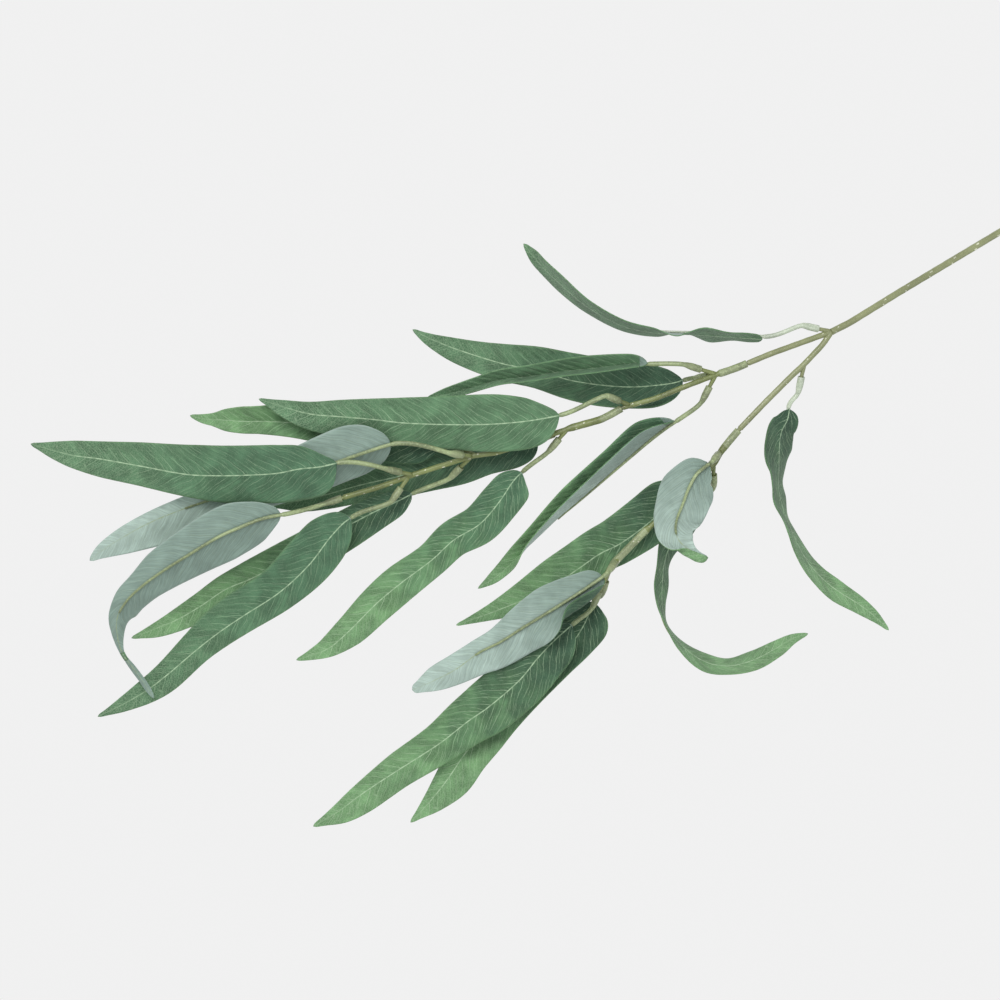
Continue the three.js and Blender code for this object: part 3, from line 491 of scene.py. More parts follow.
            [-129.5, -132, 17, -12, -10, 8, 7.7, 0],
            [-140, -137.5, 12.4, -5, -5, 5.6, 6.6, 0],
            [-151, -142.5, 7.4, 0, 0, 2, 2, 0],
        ],
    },
    {
        "name": "leaf_19", "carrier": "lower_limb",
        "node": [-54.5, -86.2, 19.3], "mouth": [-57.4, -93, 18.8],
        "spine": [
            [-71, -109.5, 20.2, 5, 5, 2.5, 2.5],
            [-74.5, -112.5, 20, 6, 5, 9, 8],
            [-80, -117.5, 19.6, 8, 5, 13, 12],
            [-88, -126, 18.4, 10, 5, 14.3, 14],
            [-97, -137, 16.4, 10, 5, 14.3, 14.5],
            [-113, -151, 13, 10, 4, 13.8, 14],
            [-123, -158, 11, 10, 6, 12.5, 12.4],
            [-137, -169, 8.4, 8, 8, 10.4, 10.4],
            [-157, -182, 5.2, 8, 8, 9.2, 8.9],
            [-167, -188.5, 3.8, 8, 8, 9.6, 7.3],
            [-178, -196, 2.4, 5, 5, 9.6, 5.4],
            [-188, -203.5, 1.1, 0, 0, 7, 3.8],
            [-201, -211.3, 0.3, 0, 0, 0.9, 0.9],
        ],
    },
    {
        "name": "leaf_20", "carrier": "lower_limb",
        "node": [-52.6, -82.4, 19.6], "mouth": [-54, -87.6, 16.2],
        "spine": [
            [-60, -98, 12.6, 10, 5, 2.5, 2.5],
            [-61.5, -101.5, 12.3, 12, 4, 8, 6],
            [-64, -108, 11.8, 14, 3, 12.5, 9.5],
            [-69.5, -117, 11, 14, 3, 10.8, 11],
            [-79.5, -127, 9.6, 14, 0, 10.5, 12],
            [-92, -139.5, 7.8, 14, 0, 10.5, 12],
            [-104.5, -153, 6.2, 12, 0, 10.5, 11],
            [-114.5, -163, 5, 12, 0, 12, 10],
            [-124.5, -174.5, 3.8, 10, 0, 12.2, 8.5],
            [-133, -187, 2.6, 8, 0, 11.8, 6.8],
            [-142, -198.5, 1.2, 3, 0, 7, 4],
            [-152, -209.3, 0.3, 0, 0, 0.8, 0.8],
        ],
    },
]

# Columns of a spine row, the left half's and the right half's
TILT_COLUMNS = (3, 4)
WIDTH_COLUMNS = (5, 6)
CURL_COLUMNS = (7, 8)

# Each leaf's top colour, by how green its root and tip are. The tones are partly the cloth's own and partly
# painted light and shade: "shaded" paints shade on leaves lying in shade, the darker roots paint the shade
# under the limbs and other leaves, and leaf_04's "light" paints light on a leaf that the lamps leave darker
TONES = {
    "leaf_01": "mid", "leaf_02": "shaded", "leaf_03": "mid", "leaf_04": "light", "leaf_05": "mid",
    "leaf_06": "light", "leaf_07": "fresh", "leaf_08": "deep", "leaf_09": "deep", "leaf_10": "fresh",
    "leaf_11": "deep", "leaf_12": "deep", "leaf_13": "shaded", "leaf_14": "fresh", "leaf_15": "light",
    "leaf_16": "fresh", "leaf_17": "fresh", "leaf_18": "shaded", "leaf_19": "fresh", "leaf_20": "fresh",
}
DULL_UNDER = ("leaf_12",)
PALE_STALKS = ("leaf_01", "leaf_14")

# The ribs that show on under-face leaves run on further and end thicker
SHOWN_RIB_END_SHARE = 0.66
SHOWN_RIB_TIP = 0.62

# Fine detail of the stems and stalks, with lengths in millimetres and turns in radians
STEM_SIDES = 18
STALK_SIDES = 12
STALK_RINGS = 24
RIB_RINGS = 60
FINE_STEP = 0.7
EDGE_ROUND = 0.15
RIB_SINK = 0.12
SLEEVE_RADIUS = 1.95
SLEEVE_MARGIN = 0.02
THINNING_SHARE = 0.14
NUB_STOPS = (0, 0.35, 0.7, 1)
NUB_SWELLS = (1.25, 1.2, 1.05, 1, 1)
RIDGE_COUNT = 5
RIDGE_RISE = 0.09
RIDGE_TWIST = 0.04
RIPPLE_RISE = 0.03
RIPPLE_RATE = 0.9
SKIN_SINK = 0.08
DOT_TURNS = (0.35, -0.75)
DOT_RADIUS = 0.55
RAISED = 0.12
NUB_RIDGE_COUNT = 4
NUB_RIDGE_RISE = 0.03
STALK_RIDGE_COUNT = 3
STALK_RIDGE_RISE = 0.05

# Fine detail of the blades, in millimetres or as shares of the half width
ROUND_BASE = 3.0
ROUND_TIP = 2.2
SMALLEST_HALF = 0.15
CURL_START = 0.38
CURL_END = 0.62
PUCKER_START = 2.0
FLAT_MARGIN = 0.4
PRESS_WIDTH = 0.8
PRESS_FADE = 0.8

# Places of the finishes on a moulded piece and on a blade
PLAIN, DOTTED, SLEEVE = range(3)
GREEN_FACE, GREY_FACE = range(2)

# How strong the print's veins and other marks are, as shares of the full mark
VEIN_STRENGTHS = {"shaded": 0.42, "deep": 0.50, "mid": 0.60, "fresh": 0.78, "light": 0.80}
UNDER_VEIN_STRENGTH = 0.30
TOP_PRINT = {"patch": 0.24, "margin": 0.22, "net": 0.34, "midrib": 0.9}
UNDER_PRINT = {"patch": 0.09, "margin": 0.5, "net": 0.12, "midrib": 0.75}
UNDER_LINE_GAIN = 1.15

# How the print is laid out, as shares of the vein spacing, of the leaf's length or of the way outwards
SIDE_STAGGER = 0.45
SLOW_WANDER = 1.7
QUICK_WANDER = 0.15
BRANCH_HALF_SPACING = 1 / 4.6
BRANCH_LEAN = 0.42
MOTTLE_REACH = 0.22
FIBRE_SQUEEZE = 0.1

# How high the print's marks stand in the cloth, as shares of its bump
VEIN_HEIGHT = 0.6
NET_HEIGHT = 0.25
WEAVE_HEIGHT = 0.5

# The moulded finishes' darker blotches and paler speckle, as gains on the colour
DARK_BLOTCH = 0.6
PALE_BLOTCH_SHARE = 0.65
PALE_SPECKLE = 2.1
WIRE_DARK = (0.30, 0.30, 0.31, 1)
WIRE_LIGHT = (0.52, 0.52, 0.53, 1)

# The camera's aim and lens, in millimetres
VIEW_CENTRE = np.array([-107.0, -47.0, 20.0])
LENS = 200.0
SENSOR = 36.0

# The rest of the stage, in metres. Lamps: name, place, size and power in watts
CLIP_END = 20.0
GROUND_HALF = 6.0
GROUND_DROP = 0.0002
LAMPS = (
    ("window", (-0.45, 0.55, 1.25), 0.8, 12.0),
    ("fill", (0.75, -0.55, 1.05), 1.2, 4.0),
)
LAMP_AIM = Vector((-0.11, -0.04, 0.02))
SKY_COLOUR = (0.95, 0.98, 1.0, 1)
SKY_STRENGTH = 0.62

# Seeds and the steps of the random numbers
STEM_SEED = 5
SEED_SPREAD = 7919
SEED_OFFSET = 17
RANDOM_FACTOR = 16807
RANDOM_RANGE = 2147483647


class SpraySizes(bpy.types.PropertyGroup):
    """Sizes of the fine detail on the spray"""

    blade_thickness: FloatProperty(
        name="Blade thickness", description="Thickness of the leaf fabric",
        default=0.0005, min=0.0002, unit="LENGTH", subtype="DISTANCE")
    blade_rows: IntProperty(
        name="Blade rows", description="Rows of faces along a leaf", default=130, min=20)
    half_columns: IntProperty(
        name="Half columns", description="Columns of faces across half a leaf", default=11, min=3)
    vein_spacing: FloatProperty(
        name="Vein spacing", description="Distance between side veins at the midrib",
        default=0.0060, min=0.001, unit="LENGTH", subtype="DISTANCE")
    vein_lean: FloatProperty(
        name="Vein lean", description="How far a side vein runs forward for each step outwards",
        default=1.15, min=0.0)
    vein_sweep: FloatProperty(
        name="Vein sweep", description="How much more a side vein runs forward towards the margin",
        default=3.2, min=0.0)
    pucker: FloatProperty(
        name="Pucker", description="Height of the cloth's puckers between the side veins",
        default=0.00022, min=0.0, unit="LENGTH", subtype="DISTANCE")
    midrib_rise: FloatProperty(
        name="Midrib rise", description="Height of the midrib pressed into the cloth",
        default=0.0004, min=0.0, unit="LENGTH", subtype="DISTANCE")
    dot_spacing: FloatProperty(
        name="Dot spacing", description="Distance between the raised dots on a stem",
        default=0.0138, min=0.002, unit="LENGTH", subtype="DISTANCE")
    dot_rise: FloatProperty(
        name="Dot rise", description="Height of a raised dot",
        default=0.0003, min=0.0, unit="LENGTH", subtype="DISTANCE")
    view_width: FloatProperty(
        name="View width", description="Width of the camera's view at the leaves",
        default=0.5, min=0.1, unit="LENGTH", subtype="DISTANCE")


def colour_property(name, description, default):
    return FloatVectorProperty(
        name=name, description=description, default=default, size=3, min=0, max=1, subtype="COLOR")


class SprayColours(bpy.types.PropertyGroup):
    """Colours of the spray, in linear light"""

    # Painted shade: the root colours, dark_root most of all, are darker partly for the shade where the roots
    # lie under the limbs and other leaves
    dark_root: colour_property("Dark root", "Top cloth, darkest roots", (0.032, 0.080, 0.045))
    soft_root: colour_property("Soft root", "Top cloth, paler roots", (0.062, 0.142, 0.077))
    deep_tip: colour_property("Deep tip", "Top cloth, tips of the darker leaves", (0.088, 0.180, 0.092))
    fresh_tip: colour_property("Fresh tip", "Top cloth, tips of the fresher leaves", (0.150, 0.292, 0.128))
    under_root: colour_property("Under root", "Under cloth, near the stalk", (0.200, 0.277, 0.236))
    under_tip: colour_property("Under tip", "Under cloth, near the tip", (0.395, 0.500, 0.445))
    under_dull: colour_property("Dull under tip", "Under cloth, duller tips", (0.222, 0.308, 0.262))
    vein: colour_property("Vein", "Printed veins and midrib", (0.460, 0.620, 0.400))
    margin: colour_property("Margin", "Leaf margins and tips", (0.185, 0.350, 0.130))
    moulding: colour_property("Moulding", "Stalks and raised midribs", (0.268, 0.322, 0.165))
    sleeve: colour_property("Sleeve", "Sockets and collars", (0.265, 0.305, 0.165))
    main_stem: colour_property("Main stem", "Moulded main stem", (0.245, 0.265, 0.130))
    stem: colour_property("Stem", "Moulded limbs", (0.190, 0.222, 0.080))
    pale_stalk: colour_property("Pale stalk", "Palest moulded stalks", (0.46, 0.52, 0.40))
    dot: colour_property("Dot", "Raised dots on the stems", (0.560, 0.570, 0.420))
    floor: colour_property("Floor", "Plain light ground", (0.876, 0.876, 0.876))


def unit(vectors):
    """One vector, or each of an array of vectors, at a length of 1."""
    return vectors / np.maximum(np.linalg.norm(vectors, axis=-1, keepdims=True), TINY)


def smooth_step(low, high, value):
    """An eased rise from 0 at low to 1 at high."""
    t = np.clip((value - low) / (high - low), 0, 1)
    return t * t * (3 - 2 * t)


def seeded_random(seed):
    """Numbers from 0 to 1 that only the seed decides."""
    state = seed * SEED_SPREAD + SEED_OFFSET
    while True:
        state = (state * RANDOM_FACTOR) % RANDOM_RANGE
        yield state / RANDOM_RANGE


def curve_point(points, place):
    """A point on the centripetal curve through the points, place from 0 to 1."""
    shortest = 1e-4
    last = len(points) - 1
    span = min(max(place, 0), 1) * last
    i = min(int(span), last - 1)
    before = points[i - 1] if i > 0 else 2 * points[0] - points[1]
    after = points[i + 2] if i + 2 <= last else 2 * points[last] - points[last - 1]
    corners = [before, points[i], points[i + 1], after]
    steps = [max(np.linalg.norm(b - a) ** 0.5, shortest) for a, b in zip(corners, corners[1:])]
    first, middle, final = steps
    start, end = corners[1], corners[2]
    leave = (start - before) / first - (end - before) / (first + middle) + (end - start) / middle
    arrive = (end - start) / middle - (after - start) / (middle + final) + (after - end) / final
    leave, arrive = leave * middle, arrive * middle
    t = span - i
    return (start + leave * t + (3 * (end - start) - 2 * leave - arrive) * t ** 2
            + (2 * (start - end) + leave + arrive) * t ** 3)


def row_value(rows, column, place):
    """A smooth value along the spine for one column of its rows, 0 where a row hasn't got it."""
    values = [row[column] if column < len(row) else 0 for row in rows]
    last = len(values) - 1
    span = place * last
    i = min(int(span), last - 1)
    a, b, c, d = (values[min(max(k, 0), last)] for k in (i - 1, i, i + 1, i + 2))
    t = span - i
    leave, arrive = (c - a) / 2, (d - b) / 2
    bend, turn = 3 * (c - b) - 2 * leave - arrive, 2 * (b - c) + leave + arrive
    return b + leave * t + bend * t ** 2 + turn * t ** 3


class LeafLine:
    """A leaf's centreline in millimetres, with its tilts, widths and curls at shares along it."""

    SAMPLES = 200
    NUDGE = 1e-4

    def __init__(self, leaf, shares):
        rows = leaf["spine"]
        points = [np.array(row[:3], float) for row in rows]
        places = np.linspace(0, 1, self.SAMPLES + 1)
        samples = np.array([curve_point(points, place) for place in places])
        lengths = travelled_along(samples)
        self.length = lengths[-1]
        self.shares = np.asarray(shares)
        spots = np.interp(self.shares * self.length, lengths, places)
        self.points = np.array([curve_point(points, spot) for spot in spots])
        self.tangents = unit(np.array([
            curve_point(points, spot + self.NUDGE) - curve_point(points, spot - self.NUDGE)
            for spot in spots]))
        self.left = unit(np.cross(UP, self.tangents))
        self.up = np.cross(self.tangents, self.left)
        self.tilts = np.radians(self.values(rows, TILT_COLUMNS, spots))
        self.curls = np.radians(self.values(rows, CURL_COLUMNS, spots))
        ends = self.rounded(self.shares * self.length, ROUND_BASE)
        ends = ends * self.rounded((1 - self.shares) * self.length, ROUND_TIP)
        widths = self.eased(self.values(rows, WIDTH_COLUMNS, spots))
        self.widths = np.maximum(widths * ends, SMALLEST_HALF)

    @staticmethod
    def values(rows, columns, spots):
        """The left and the right half's values at the spots."""
        return np.array([[row_value(rows, column, spot) for spot in spots] for column in columns])

    @staticmethod
    def rounded(distance, radius):
        """A round end's share of the full width at a distance from the end."""
        return np.sqrt(1 - (1 - np.clip(distance / radius, 0, 1)) ** 2)

    @staticmethod
    def eased(values, passes=5):
        """Values along the leaf with their corners eased."""
        for _ in range(passes):
            values[:, 1:-1] = (values[:, :-2] + 2 * values[:, 1:-1] + values[:, 2:]) / 4
        return values

    def face_directions(self):
        """Directions out of the blade's upper side at its midrib."""
        left_tilt, right_tilt = self.tilts
        return unit(self.up * (np.cos(left_tilt) + np.cos(right_tilt))[:, None]
                    + self.left * (np.sin(right_tilt) - np.sin(left_tilt))[:, None])


def half_blade(line, side, columns, phase):
    """Points across one half of a blade, from the midrib out. Side 0 is the left half."""
    sign = 1 if side == 0 else -1
    tilt, width, curl = line.tilts[side], line.widths[side], line.curls[side]
    wave = np.sin(math.tau * WAVE_COUNT * line.shares + phase) * np.sin(math.pi * line.shares)
    across = [line.points]
    for k in range(columns):
        angle = tilt + curl * smooth_step(CURL_START, CURL_END, (k + 0.5) / columns)
        step = line.left * (sign * np.cos(angle))[:, None] + line.up * np.sin(angle)[:, None]
        across.append(across[-1] + step * (width / columns)[:, None])
    for k, points in enumerate(across[1:], start=1):
        outer = max(2 * k / columns - 1, 0)
        points[:, 2] += WAVE_RISE * wave * outer * np.abs(np.cos(tilt))
    return across


def blade_grid(leaf, seed, sizes):
    """The blade's middle surface in millimetres, each point's place across and along it, each
    column's share of the half width, and the leaf's line."""
    columns = sizes.half_columns
    line = LeafLine(leaf, np.linspace(0, 1, sizes.blade_rows + 1))
    random = seeded_random(seed)
    phases = [next(random) * math.tau for _ in range(2)]
    left = half_blade(line, 0, columns, phases[0])
    right = half_blade(line, 1, columns, phases[1])
    grid = np.stack(left[:0:-1] + right, axis=1)
    steps = np.concatenate([-np.arange(columns, 0, -1), np.arange(0, columns + 1)]) / columns
    width = np.where(steps[None, :] < 0, line.widths[0][:, None], line.widths[1][:, None])
    across = steps[None, :] * width
    along = np.repeat((line.shares * line.length)[:, None], grid.shape[1], axis=1)
    upward = -1 if leaf.get("under") else 1
    relief = puckers(across, along, steps, line, sizes) + upward * pressed_rib(across, line, sizes)
    return grid + grid_normals(grid) * relief[..., None], across, along, steps, line


def puckers(across, along, steps, line, sizes):
    """Heights of the soft folds between the side veins, flat at the midrib and the margin."""
    reach = np.abs(across)
    lean = along - sizes.vein_lean * reach - sizes.vein_sweep / DECIMETRE * reach ** 2
    folds = np.cos(math.tau * lean / (sizes.vein_spacing / MM)) * smooth_step(0, PUCKER_START, reach)
    margin = np.clip(1 - np.abs(steps), 0, FLAT_MARGIN)[None, :] / FLAT_MARGIN
    return sizes.pucker / MM * folds * (margin * np.sin(math.pi * line.shares)[:, None])


def pressed_rib(across, line, sizes):
    """Heights of the midrib pressed into the cloth, lower towards the tip."""
    rib = np.exp(-(across / PRESS_WIDTH) ** 2) * (1 - PRESS_FADE * line.shares)[:, None]
    return sizes.midrib_rise / MM * rib


def grid_normals(grid):
    rows = np.gradient(grid, axis=0)
    columns = np.gradient(grid, axis=1)
    return unit(np.cross(columns, rows))


def blade_mesh(name, leaf, seed, sizes):
    """A blade's closed cloth sheet, none of it below the ground."""
    grid, across, along, steps, line = blade_grid(leaf, seed, sizes)
    grid[..., 2] = np.maximum(grid[..., 2], CAD_THICKNESS / 2)
    normals = grid_normals(grid)
    middle = normals.shape[1] // 2
    facing = np.sum(normals[:, middle] * line.face_directions(), axis=-1)
    offsets = normals * np.sign(facing)[:, None, None] * (sizes.blade_thickness / MM / 2)
    rows, columns = grid.shape[:2]
    count = rows * columns
    shell = np.concatenate([(grid + offsets).reshape(-1, 3), (grid - offsets).reshape(-1, 3)])
    faces = []
    kinds = []
    up_face, down_face = (GREY_FACE, GREEN_FACE) if leaf.get("under") else (GREEN_FACE, GREY_FACE)
    for i in range(rows - 1):
        for j in range(columns - 1):
            a = i * columns + j
            b, c, d = a + 1, a + columns + 1, a + columns
            faces += [(a, b, c, d), (a + count, d + count, c + count, b + count)]
            kinds += [up_face, down_face]
    for a, b in grid_rim(rows, columns):
        faces.append((b, a, a + count, b + count))
        kinds.append(GREEN_FACE)
    mesh = closed_mesh(name, shell, faces, kinds)
    lay_maps(mesh, count, across, along, steps, line)
    return mesh


def grid_rim(rows, columns):
    """The edges round a grid of points."""
    edges = []
    last = (rows - 1) * columns
    for j in range(columns - 1):
        edges += [(j, j + 1), (last + j + 1, last + j)]
    for i in range(rows - 1):
        a = i * columns
        edges += [(a + columns, a), (a + columns - 1, a + 2 * columns - 1)]
    return edges


def lay_maps(mesh, count, across, along, steps, line):
    """Maps on the blade: real size across and along in decimetres, and share of width and length."""
    size = np.stack([across.reshape(-1), along.reshape(-1)], axis=1) / DECIMETRE
    share = np.stack([np.tile((steps + 1) / 2, len(line.shares)),
                      np.repeat(line.shares, len(steps))], axis=1)
    loops = np.zeros(len(mesh.loops), dtype=np.int32)
    mesh.loops.foreach_get("vertex_index", loops)
    for layer_name, values in (("leaf_size", size), ("leaf_share", share)):
        layer = mesh.uv_layers.new(name=layer_name)
        layer.data.foreach_set("uv", values[loops % count].astype(np.float32).ravel())


def closed_mesh(name, points, faces, kinds):
    """A smooth mesh from points in millimetres, kept above the ground, with its faces turned out."""
    places = (points - CENTRE) * MM
    places[:, 2] = np.maximum(places[:, 2], 0.0)
    mesh = bpy.data.meshes.new(name)
    mesh.from_pydata(places.tolist(), [], faces)
    mesh.polygons.foreach_set("material_index", kinds)
    mesh.polygons.foreach_set("use_smooth", [True] * len(faces))
    work = bmesh.new()
    work.from_mesh(mesh)
    bmesh.ops.recalc_face_normals(work, faces=work.faces)
    work.to_mesh(mesh)
    work.free()
    return mesh


def travelled_along(points):
    """The distance travelled along a line at each of its points."""
    return np.concatenate([[0], np.cumsum(np.linalg.norm(np.diff(points, axis=0), axis=1))])


def ring_frames(points):
    """Two directions across a line at each of its points, carried along it without twisting."""
    last = len(points) - 1
    normal = UP.copy()
    frames = []
    for i in range(last + 1):
        tangent = unit(points[min(i + 1, last)] - points[max(i - 1, 0)])
        normal = unit(normal - tangent * np.dot(normal, tangent))
        frames.append((normal, np.cross(tangent, normal)))
    return frames


def add_tube(rows, sides, surface, out, ring_kinds, bore_radius=0.0, bore_rings=0):
    """Adds a round body along [x, y, z, radius] rows to out, a (vertices, faces, kinds) triple.
    surface(distance, turn) gives how far the skin stands proud at a place, ring_kinds each ring's
    finish. A bore runs in from the first end over bore_rings rings."""
    vertices, faces, kinds = out
    points = np.array([row[:3] for row in rows], float)
    travelled = travelled_along(points)
    frames = ring_frames(points)
    turns = (np.arange(sides) + 0.5) * math.tau / sides
    order = [(i, True) for i in range(bore_rings - 1, -1, -1)] + [(i, False) for i in range(len(rows))]
    start = len(vertices)
    for i, inside in order:
        normal, side = frames[i]
        for turn in turns:
            reach = bore_radius if inside else rows[i][3] + surface(travelled[i], turn)
            vertices.append(points[i] + reach * (math.cos(turn) * normal + math.sin(turn) * side))
    last = len(order) - 1
    for step, (i, inside) in enumerate(order[:-1]):
        for k in range(sides):
            a, b = start + step * sides + k, start + step * sides + (k + 1) % sides
            faces.append((a, b, b + sides, a + sides))
            raised = not inside and surface(travelled[i], turns[k] + math.pi / sides) > RAISED
            kinds.append(DOTTED if raised else ring_kinds[i])
    for ring, i in ((start, order[0][0]), (start + last * sides, order[-1][0])):
        vertices.append(points[i])
        for k in range(sides):
            faces.append((len(vertices) - 1, ring + k, ring + (k + 1) % sides))
            kinds.append(ring_kinds[i])


def refine(rows):
    """A centreline of [x, y, z, radius] rows cut into short steps."""
    fine = []
    for start, end in zip(rows, rows[1:]):
        start, end = np.array(start, float), np.array(end, float)
        pieces = max(int(np.linalg.norm(end[:3] - start[:3]) / FINE_STEP), 1)
        fine += [start + (end - start) * k / pieces for k in range(pieces)]
    fine.append(np.array(rows[-1], float))
    return np.array(fine)


def ease_corners(fine, passes=6):
    """The centreline's points with its corners rounded and its ends kept."""
    points = fine[:, :3].copy()
    for _ in range(passes):
        points[1:-1] = (points[:-2] + 2 * points[1:-1] + points[2:]) / 4
    return points


def stem_surface(sizes, seed):
    """Raised dots in two lines along a stem, and shallow moulded ridges."""
    spacing = sizes.dot_spacing / MM
    rise = sizes.dot_rise / MM
    random = seeded_random(seed)
    offsets = [next(random) * spacing for _ in DOT_TURNS]

    def surface(distance, turn):
        ridges = RIDGE_RISE * math.cos(RIDGE_COUNT * turn + RIDGE_TWIST * distance)
        value = ridges + RIPPLE_RISE * math.sin(RIPPLE_RATE * distance + 2 * turn)
        for dot_turn, offset in zip(DOT_TURNS, offsets):
            away = abs((distance - offset + spacing / 2) % spacing - spacing / 2)
            around = abs((turn - dot_turn + math.pi) % math.tau - math.pi) * STEM_RADIUS
            value += rise * math.exp(-(away ** 2 + around ** 2) / DOT_RADIUS ** 2)
        return value - SKIN_SINK

    return surface


def nub_surface(distance, turn):
    return NUB_RIDGE_RISE * math.cos(NUB_RIDGE_COUNT * turn) - NUB_RIDGE_RISE


def stalk_surface(distance, turn):
    return STALK_RIDGE_RISE * math.cos(STALK_RIDGE_COUNT * turn) - STALK_RIDGE_RISE


def add_stem(rows, sizes, seed, out):
    """Adds one moulded length. The main stem is bored for the wire, a limb's collar for the spigot in it."""
    fine = refine(rows)
    fine[:, :3] = ease_corners(fine)
    fine[:, 3] = np.minimum(fine[:, 3], SLEEVE_RADIUS)
    main = rows is MAIN_STEM
    kinds = [PLAIN if main or radius < SLEEVE_RADIUS - SLEEVE_MARGIN else SLEEVE for radius in fine[:, 3]]
    bored = 0
    if main:
        bored = len(refine(rows[:WIRE_STATIONS]))
    elif rows not in (UPPER_ARM, LOWER_ARM):
        bored = len(refine(rows[:COLLAR_BORE_STATIONS]))
    add_tube(fine, STEM_SIDES, stem_surface(sizes, seed), out, kinds,
             WIRE_BORE if main else COLLAR_BORE, bored)


def add_nubs(carrier, out):
    """Adds the stub under each socket that the carrier holds."""
    for leaf in LEAVES:
        if leaf["carrier"] != carrier:
            continue
        node, mouth = np.array(leaf["node"]), np.array(leaf["mouth"])
        way = unit(mouth - node)
        reach = np.linalg.norm(mouth - node)
        stops = [*NUB_STOPS, 1 + NUB_DEPTH / reach]
        radii = [NUB_RADIUS * swell for swell in NUB_SWELLS]
        rows = [[*(node + way * reach * stop), radius] for stop, radius in zip(stops, radii)]
        add_tube(rows, STALK_SIDES, nub_surface, out, [PLAIN] * len(rows))


def rib_rows(leaf, line):
    """The raised midrib's rows, above the blade in under-face leaves and below it in the others."""
    shown = leaf.get("under", False)
    radii = np.linspace(RIB_RADIUS, SHOWN_RIB_TIP if shown else RIB_TIP_RADIUS, len(line.points))
    clear = CAD_THICKNESS / 2 + radii - RIB_SINK
    points = line.points + (1 if shown else -1) * line.face_directions() * clear[:, None]
    return [[*point, radius] for point, radius in zip(points, radii)]


def stalk_rows(leaf, line, base):
    """The stalk's rows, on a curve out of the socket and into the midrib's base."""
    node, mouth = np.array(leaf["node"]), np.array(leaf["mouth"])
    way = unit(mouth - node)
    lead = -line.tangents[0] * np.linalg.norm(base - mouth) * STALK_LEAD_SHARE
    corners = [mouth + way * SOCKET_LENGTH, mouth + way * (SOCKET_LENGTH + STALK_SWEEP), base + lead, base]
    rows = []
    for t in np.linspace(0, 1, STALK_RINGS, endpoint=False):
        weights = [(1 - t) ** 3, 3 * t * (1 - t) ** 2, 3 * t ** 2 * (1 - t), t ** 3]
        spot = sum(weight * corner for weight, corner in zip(weights, corners))
        radius = SOCKET_END_RADIUS + (STALK_RADIUS - SOCKET_END_RADIUS) * smooth_step(0, THINNING_SHARE, t)
        rows.append([*spot, radius])
    return rows


def socket_rows(leaf):
    """The socket's rows, from its rounded mouth to where the stalk starts."""
    node, mouth = np.array(leaf["node"]), np.array(leaf["mouth"])
    way = unit(mouth - node)
    return [[*(mouth + way * distance), radius] for distance, radius in (
        (0, SOCKET_RADIUS - EDGE_ROUND), (EDGE_ROUND, SOCKET_RADIUS),
        (SOCKET_DEPTH, SOCKET_RADIUS), (SOCKET_LENGTH, SOCKET_END_RADIUS))]


def add_stalk(leaf, out):
    """Adds a leaf's socket, stalk and raised midrib as one moulding."""
    end_share = SHOWN_RIB_END_SHARE if leaf.get("under") else RIB_END_SHARE
    line = LeafLine(leaf, np.linspace(0, end_share, RIB_RINGS))
    socket = socket_rows(leaf)
    rib = rib_rows(leaf, line)
    stalk = stalk_rows(leaf, line, np.array(rib[0][:3]))
    rows = socket + stalk[1:] + rib
    ring_kinds = [SLEEVE] * len(socket) + [PLAIN] * (len(rows) - len(socket))
    add_tube(rows, STALK_SIDES, stalk_surface, out, ring_kinds, SOCKET_BORE, len(socket) - 1)


def show(name, mesh, finishes, node):
    """Links a piece that stands for a node of the frame, and rides with it."""
    piece = bpy.data.objects.new(name, mesh)
    for finish in finishes:
        mesh.materials.append(finish)
    bpy.context.scene.collection.objects.link(piece)
    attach(piece, "root")
    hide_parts(node)


def show_moulding(node, out, finishes):
    """Links a moulded piece made of a (vertices, faces, kinds) triple."""
    vertices, faces, kinds = out
    mesh = closed_mesh(node, np.array(vertices), faces, kinds)
    show(f"{node}_moulding", mesh, finishes, node)


